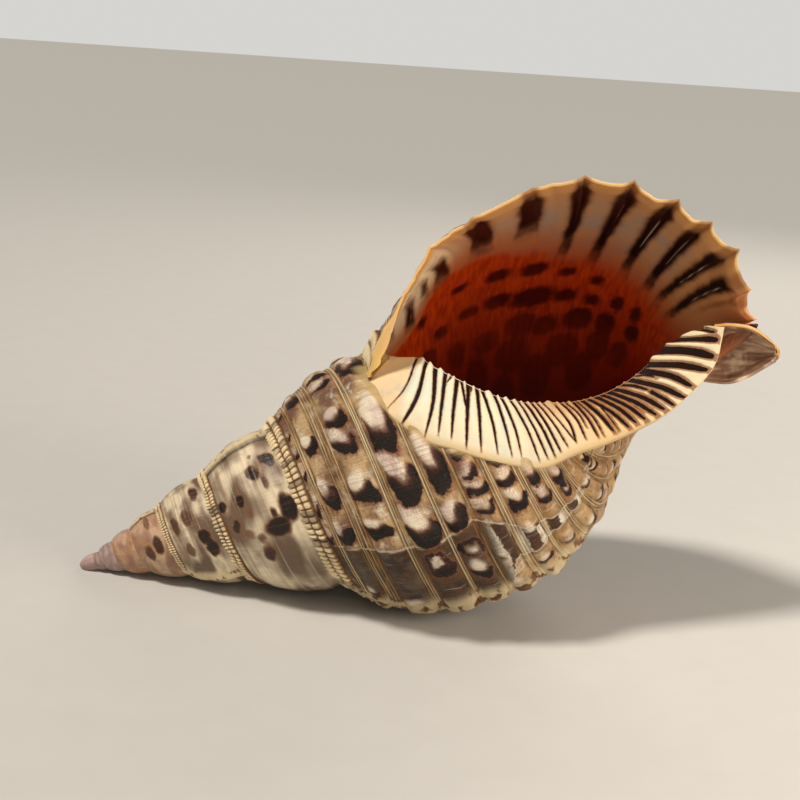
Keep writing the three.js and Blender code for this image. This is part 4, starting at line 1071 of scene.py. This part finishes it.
bar, halo, streakAndHighlight, blotch, depth = liningFields(turnField, runField)
throatIn = depth + mmPerTurn * np.interp(runField, throatRuns, throatTurns)
canalPart = (1 - onWall) * ease((216 - runField) / 16)
fields = {
    "turn": turnField, "run": runField, "bar": bar, "halo": halo, "streakAndHighlight": streakAndHighlight, "blotch": blotch,
    "depth": depth + 60 * (1 - onWall), "throatIn": throatIn + 60 * (1 - onWall),
    "throatSoft": np.interp(runField, throatRuns, throatWidths), "canalPart": canalPart,
}
liningPiece = ringMesh("lining_and_lip", toWorld(liningPoints), fields)
dress(liningPiece, liningMaterial())

print("stage: inner lip")
# Stations from the back corner to the canal: outer edge, middle and inner edge (along, up, front)
innerLip = [
    ((133, 38, 25), (138, 40.6, 21.7), (142.5, 42.8, 16.2)),
    ((139.5, 28.5, 37.7), (146.2, 35, 31.1), (152.5, 40.4, 19.6)),
    ((148.5, 18.7, 44.6), (153.5, 28.3, 37.4), (157.5, 36.7, 25.3)),
    ((156.5, 13.5, 46.4), (160.2, 23, 40), (163.7, 31.7, 29.6)),
    ((165, 7.5, 46.6), (167, 18, 41), (169, 27, 31)),
    ((173.5, 1.6, 44.3), (174.2, 12.2, 39.8), (174, 22.7, 30.7)),
    ((183, -4, 38.6), (182, 7.4, 34.5), (180.4, 17.5, 27)),
    ((194.5, -4, 33.5), (192, 4.6, 29.2), (189.7, 13, 23.3)),
    ((204.7, -4.9, 29), (202, 2.6, 25.3), (199.5, 9.8, 20)),
    ((216, -4.8, 24.5), (213, 2.2, 21.4), (210, 8.9, 16.6)),
    ((228, -3.4, 20), (224, 3.7, 17.5), (220, 10.5, 13.4)),
    ((240.3, 1.2, 15.8), (234.3, 7.7, 14.1), (228.3, 13.9, 10.8)),
    ((248.7, 6.6, 12.5), (242.3, 12.2, 11.6), (236, 17.4, 9)),
    ((252.9, 12.9, 10.2), (249.8, 15.7, 10), (246.9, 18.1, 8.2)),
    ((254.9, 16.9, 9.9), (252, 18, 9.6), (249, 18.4, 8.2)),
]
# Dark lines: from and to, as shares of the way out from the inner edge, the station at the start, middle
# and end, and the half width in mm at the start and end
innerLines = [
    (0.0, 0.86, (1.85, 2.15, 1.7), (0.45, 0.12)), (0.0, 0.88, (2.85, 3.05, 2.7), (0.8, 0.7)),
    (0.0, 0.86, (4.0, 4.2, 4.0), (1.0, 0.3)), (0.0, 0.75, (4.95, 4.9, 4.9), (0.8, 0.35)),
    (0.0, 0.14, (5.45, 5.3, 5.1), (0.32, 0.24)), (0.0, 0.75, (6.0, 5.9, 5.9), (0.8, 0.36)),
    (0.0, 0.4, (6.4, 6.7, 7.0), (0.5, 0.45)), (0.0, 0.82, (7.1, 7.05, 6.95), (0.75, 0.4)),
    (0.0, 0.12, (7.4, 7.4, 7.3), (0.4, 0.3)), (0.0, 0.8, (8.0, 8.05, 7.95), (0.7, 0.36)),
    (0.0, 0.76, (8.65, 9.05, 9.1), (0.7, 0.32)), (0.0, 0.76, (9.95, 10.0, 10.05), (0.65, 0.3)),
    (0.0, 0.74, (10.6, 10.75, 10.7), (0.7, 0.32)), (0.0, 0.8, (11.4, 11.7, 11.8), (0.6, 0.4)),
    (0.0, 0.78, (12.05, 12.25, 12.35), (0.4, 0.5)), (0.0, 0.8, (12.5, 12.75, 12.8), (0.56, 0.48)),
    (0.0, 0.76, (12.95, 13.15, 13.2), (0.5, 0.5)), (0.0, 0.74, (13.3, 13.6, 13.7), (0.4, 0.4)),
    (0.0, 0.72, (13.7, 14.05, 14.3), (0.35, 0.32)), (0.1, 0.72, (14.45, 14.6, 14.3), (0.45, 0.45)),
    (0.0, 0.7, (14.9, 15.2, 15.0), (0.5, 0.4)), (0.03, 0.58, (15.25, 15.55, 15.5), (0.45, 0.3)),
    (0.0, 0.74, (15.7, 15.9, 15.8), (0.6, 0.45)), (0.0, 0.74, (15.95, 16.25, 16.15), (0.4, 0.3)),
    (0.0, 0.76, (16.3, 16.7, 16.8), (0.85, 0.7)), (0.2, 0.74, (17.05, 17.1, 17.1), (0.3, 0.3)),
    (0.0, 0.8, (16.7, 17.4, 17.7), (0.8, 0.7)), (0.2, 0.48, (17.6, 17.8, 17.85), (0.2, 0.2)),
    (0.0, 0.78, (17.2, 17.9, 18.2), (0.9, 0.8)), (0.2, 0.65, (18.45, 18.7, 18.9), (0.2, 0.2)),
    (0.0, 0.8, (17.6, 18.4, 18.75), (0.85, 0.75)), (0.0, 0.83, (18.05, 18.95, 19.4), (0.95, 0.8)),
    (0.0, 0.83, (18.5, 19.5, 19.95), (0.95, 0.8)), (0.5, 0.88, (20.15, 20.35, 20.45), (0.7, 0.6)),
    (0.0, 0.42, (19.05, 19.7, 20.1), (0.65, 0.5)), (0.0, 0.3, (20.15, 20.7, 21.0), (0.4, 0.3)),
    (0.0, 0.9, (19.7, 20.7, 21.1), (0.95, 0.8)), (0.0, 0.83, (20.75, 21.6, 21.8), (1.1, 0.8)),
    (0.0, 0.86, (21.4, 22.6, 23.2), (1.1, 0.9)), (0.0, 0.83, (23.0, 23.95, 24.3), (1.5, 1.1)),
    (0.0, 0.76, (24.3, 25.25, 25.8), (1.15, 0.8)), (0.0, 0.6, (26.0, 26.3, 26.6), (0.55, 0.4)),
]


def innerLipPoints():
    stations = np.linspace(0, 28, 28 * 18 + 1)
    table = np.array(innerLip, float)
    columns = [curveThrough(table[:, k], stations / 2) for k in range(3)]
    across = np.linspace(0, 1, 44)
    row = np.stack(columns, 1)
    front = np.empty((len(stations), len(across), 3))
    for i in range(len(stations)):
        front[i] = curveThrough(row[i], across * 2)
    return stations, across, front


stations, across, front = innerLipPoints()
# across runs from the outer edge (0) to the inner edge (1)
spacing = np.linalg.norm(np.gradient(front, stations, axis=0), axis=2)
fromInner = 1 - across[None, :] + 0 * stations[:, None]
acrossLength = np.linalg.norm(front[:, -1] - front[:, 0], axis=1)[:, None]
line = np.full(front.shape[:2], -9.0)
for start, end, places, halves in innerLines:
    end = end + 0.1 * ease((end - 0.6) / 0.1)
    share = np.clip((fromInner - start) / (end - start), 0, 1)
    middle = curveThrough(np.array(places)[:, None], share * 2)[..., 0]
    steep = (places[2] - places[0]) / (end - start) * spacing / acrossLength
    distance = np.abs(stations[:, None] - middle) * spacing / np.hypot(1, steep)
    half = (halves[0] + (halves[1] - halves[0]) * share) * np.sqrt(1 - 0.8 * share ** 6)
    half = half * (1 + 0.3 * ease((places[1] - 18) / 4))
    endIn = np.minimum(end - fromInner, fromInner - start + 0.06) * 26
    line = np.maximum(line, np.minimum(half - distance, endIn * 0.3))
tangentA = np.gradient(front, axis=0)
tangentB = np.gradient(front, axis=1)
normal = np.cross(tangentA, tangentB)
normal /= np.linalg.norm(normal, axis=2, keepdims=True)
normal *= np.sign((normal * np.array([0, 0.4, 1.0])).sum(2, keepdims=True))
foldEnd = ease((across[None, :] - 0.1) / 0.2)
fold = 0.85 * (1 - np.exp(-(np.clip(-line + 0.15, 0, None) / 1.0) ** 1.4)) - 0.1
# each fold ends in a rounded nub at the inner edge
nub = (fold - 0.2) * ease((across[None, :] - 0.86) / 0.14) * ease((stations[:, None] - 1.2) / 1.5)
front = front + (tangentB / np.linalg.norm(tangentB, axis=2, keepdims=True)) * nub[..., None]
free = ease((stations - 12) / 4)[:, None]
rise = np.interp(across, [0, 0.12, 0.5, 0.85, 1], [0.05, 0.4, 0.9, 0.8, 0.15])[None, :]
frontLifted = front + normal * (rise * (1 - 0.4 * free) + fold * foldEnd * ease((stations[:, None] - 1.2) / 1.5))[..., None]

outerEdge, innerEdge = frontLifted[:, 0], frontLifted[:, -1]
side = np.array(hollowSide, float)


def sidePlace(along, turn):
    order = np.argsort(side[:, 0])
    radius = np.interp(along, side[order, 0], side[order, 1])
    angle = coil["lipAngle"] + 2 * np.pi * turn
    return np.stack([along, -radius * np.sin(angle), radius * np.cos(angle)], -1)


slope = [innerEdge]
back = sidePlace(innerEdge[:, 0] - 1.5, -0.04)
drop = sidePlace(innerEdge[:, 0] - 1.0, -0.16)
ctrl = np.stack([front[:, -6], innerEdge, innerEdge * 0.7 + back * 0.3 + np.array([0, 0.8, 0]), back, drop], 1)
backCurve = np.stack([curveThrough(c, np.linspace(1, 4, 22)[1:]) for c in ctrl])
root = np.stack([outerEdge[:, 0] * 0.5 + innerEdge[:, 0] * 0.5, np.full(len(stations), -3.0), np.full(len(stations), -3.0)], -1)
shelfEnd = ease((stations - 23) / 5)[:, None]
thick = 1.2 + 2.2 * free * (1 - 0.7 * shelfEnd)
under = outerEdge - normal[:, 0] * thick + np.array([0, 0.9, 0]) * free
deep = outerEdge * np.array([1, 0.75, 0.62]) + np.array([0, -1.0, 0])
low = np.where(free > 0.5, under, outerEdge - normal[:, 0] * 3.5)
# toward the canal the lip is a thin free shelf
root = root + (under * 0.4 + innerEdge * 0.6 - normal[:, -1] * 1.6 - root) * shelfEnd
deep = deep + (under * 0.8 + innerEdge * 0.2 - normal[:, 0] * 0.4 - deep) * shelfEnd
edgeRound = outerEdge - normal[:, 0] * thick * 0.5 - (front[:, 1] - front[:, 0]) * (0.5 + 0.3 * free)
ring = np.concatenate([frontLifted, backCurve, root[:, None], deep[:, None], low[:, None], edgeRound[:, None]], 1)
pad = ring.shape[1] - len(across)
stationField = stations[:, None] + np.zeros(ring.shape[1])[None, :]
acrossField = np.concatenate([1 - across, np.zeros(21), np.ones(pad - 21)])[None, :] + np.zeros(len(stations))[:, None]
lineField = np.concatenate([line, np.full((len(stations), pad), -9.0)], 1)
backField = np.concatenate([np.zeros(len(across)), np.linspace(0, 1, 21), np.zeros(pad - 21)])[None, :] + 0 * stationField
fields = {"station": stationField, "across": acrossField, "line": lineField, "back": backField}
innerPiece = ringMesh("inner_lip", toWorld(ring), fields)
dress(innerPiece, innerLipMaterial())

print("stage: canal end")
canalNet = [
    ((243, 0.5, 8), (244, 1, 1), (245.5, 7, -4.5), (247.5, 12.5, 0), (252, 17.6, 7.6)),
    ((251.2, -3, 7), (252.5, -1.5, 0), (254, 5, -4.5), (255.8, 12, 0.5), (257.3, 16.7, 9.7)),
    ((259, -3, 6), (260, -1.8, 1), (261.5, 3, -2.5), (263, 9, 1.5), (264.5, 12.2, 7.8)),
    ((267, -1.3, 3.9), (269.2, -0.6, 3), (270.8, 0.8, 2.8), (270.9, 2.4, 3.2), (270.3, 4.2, 4.2)),
]


def canalPiece():
    table = np.array(canalNet, float)
    alongPlaces = np.linspace(0, 3, 91)
    acrossPlaces = np.linspace(0, 4, 81)
    rows = np.stack([curveThrough(table[:, k], alongPlaces) for k in range(5)], 1)
    top = np.stack([curveThrough(row, acrossPlaces) for row in rows])
    wrinkle = 0.4 * softNoise(alongPlaces[:, None] * 9 + 3, acrossPlaces[None, :] * 1.2, 15)
    wrinkle = wrinkle + softNoise(alongPlaces[:, None] * 2.2 + 5, acrossPlaces[None, :] * 6 + alongPlaces[:, None], 16)
    a, b = np.gradient(top, axis=0), np.gradient(top, axis=1)
    normal = np.cross(a, b)
    normal /= np.maximum(np.linalg.norm(normal, axis=2, keepdims=True), 1e-6)
    normal *= np.sign((normal * np.array([0, 0, 1.0])).sum(2, keepdims=True) + 1e-9)
    inner = ease(1 - np.abs(acrossPlaces[None, :] - 2) / 2 + 0.2)
    top = top + normal * (0.32 * wrinkle * inner)[..., None]
    away = np.stack([np.full(top.shape[:2], 3.0), top[..., 1] - 6.5, top[..., 2] - 9], -1)
    away /= np.linalg.norm(away, axis=2, keepdims=True)
    thick = 0.9 + 1.5 * (1 - np.abs(acrossPlaces / 2 - 1) ** 5)
    bottom = (top + away * thick[None, :, None])[:, ::-1]
    edgeA = (top[:, -1:] + bottom[:, :1]) / 2
    edgeB = (top[:, :1] + bottom[:, -1:]) / 2
    rings = np.concatenate([top, edgeA, bottom, edgeB], 1)
    along = alongPlaces[:, None] / 3 + np.zeros(rings.shape[1])[None, :]
    acrossUnit = acrossPlaces / 4
    acrossRow = np.concatenate([acrossUnit, [1], acrossUnit[::-1], [0]])
    # the bright rim runs along the upper side and round the end
    rim = np.concatenate([ease((acrossUnit - 0.965) / 0.03), [1], np.zeros(81), [0]])
    rimField = np.maximum(rim[None, :], ease((along - 0.955) / 0.03) * ease((acrossRow[None, :] - 0.2) / 0.3))
    return rings, {"along": along, "across": acrossRow[None, :] + 0 * along, "rim": rimField}


points, fields = canalPiece()
canalObject = ringMesh("canal_end", toWorld(points), fields)
dress(canalObject, canalMaterial())

print("stage: spire tip")
tip = {"radius": 3.2, "stretch": 2.0, "middle": 8.2}
theta = np.linspace(0.04, math.pi - 0.04, 40)[:, None]
phi = np.linspace(0, 2 * math.pi, 48, endpoint=False)[None, :]
ball = np.stack([
    tip["middle"] - tip["radius"] * tip["stretch"] * np.cos(theta) + 0 * phi,
    tip["radius"] * np.sin(theta) * np.sin(phi),
    tip["radius"] * np.sin(theta) * np.cos(phi),
], -1)
flat = np.zeros(ball.shape[:2])
fields = {
    "turn": flat - 6.5, "run": flat + 30 + 20 * np.sin(phi), "dark": flat - 9, "shade": flat, "worn": flat + 1,
    "crack": flat, "roll": flat,
}
tipPiece = ringMesh("spire_tip", toWorld(ball), fields)
dress(tipPiece, spireMaterial("worn_spire_tip"))

print("stage: camera and studio")
view = {
    "place": (0.016607, -0.473785, 0.193433),
    "right": (0.9955115, 0.0681884, 0.0656291),
    "up": (-0.0801746, 0.2391570, 0.9676652),
    "ahead": (-0.0502879, 0.9685836, -0.2435505),
    "lens": 60,
}
cameraData = bpy.data.cameras.new("camera")
cameraData.lens = view["lens"]
cameraData.sensor_width = 36
camera = bpy.data.objects.new("camera", cameraData)
bpy.context.scene.collection.objects.link(camera)
pose = Matrix((view["right"], view["up"], [-v for v in view["ahead"]])).transposed().to_4x4()
pose.translation = view["place"]
camera.matrix_world = pose
bpy.context.scene.camera = camera


def addLight(name, kind, place, target, settings, colour):
    data = bpy.data.lights.new(name, kind)
    data.color = linear(colour)[:3]
    for key, value in settings.items():
        setattr(data, key, value)
    light = bpy.data.objects.new(name, data)
    light.location = place
    light.rotation_euler = (Vector(target) - Vector(place)).to_track_quat("-Z", "Y").to_euler()
    bpy.context.scene.collection.objects.link(light)


middleOfShell = (0, 0, 0.07)
addLight("key", "SUN", (-0.42, -0.27, 0.86), middleOfShell, {"energy": 3.1, "angle": math.radians(10)}, "#fff5e8")
addLight("fill", "AREA", (0.25, -0.8, 0.3), middleOfShell, {"energy": 1.35, "size": 0.6}, "#fff1e0")
addLight("right", "AREA", (0.6, -0.3, 0.3), (0.03, 0, 0.11), {"energy": 2.9, "size": 0.3}, "#fff1e0")
addLight("back", "AREA", (0.5, 0.9, 0.8), middleOfShell, {"energy": 4.5, "size": 0.7}, "#fff6ea")

floorMesh = bpy.data.meshes.new("floor")
half = 400.0
floorMesh.from_pydata([(-half, -half, 0), (half, -half, 0), (half, half, 0), (-half, half, 0)], [], [(0, 1, 2, 3)])
floor = bpy.data.objects.new("floor", floorMesh)
bpy.context.scene.collection.objects.link(floor)
floorMaterial, tree = newMaterial("matt_paper_floor")
paper = noiseOut(tree, objectVector(tree), 60.0, 3)
finishMaterial(tree, mixOut(tree, paper, "#bebdba", "#c4c3c0"), mathOut(tree, "ADD", 0.9, 0.0), paper, 0.02)
floorMesh.materials.append(floorMaterial)
floor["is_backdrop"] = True

world = bpy.data.worlds.new("studio")
world.use_nodes = True
# dim as a light, and as bright as the floor where it is seen
tree = world.node_tree
background = tree.nodes["Background"]
background.inputs[0].default_value = linear("#e4e3e0")
seen = addNode(tree, "ShaderNodeLightPath").outputs["Is Camera Ray"]
tree.links.new(addNode(tree, "ShaderNodeMapRange", {3: 0.12, 4: 0.86}, {0: seen}).outputs[0], background.inputs[1])
bpy.context.scene.world = world
bpy.context.scene.view_settings.view_transform = "Standard"

low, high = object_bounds()
print("cad box", [round(v * 1000, 1) for v in (*cadLow, *cadHigh)])
print("visual box", [round(v * 1000, 1) for v in (*low, *high)])
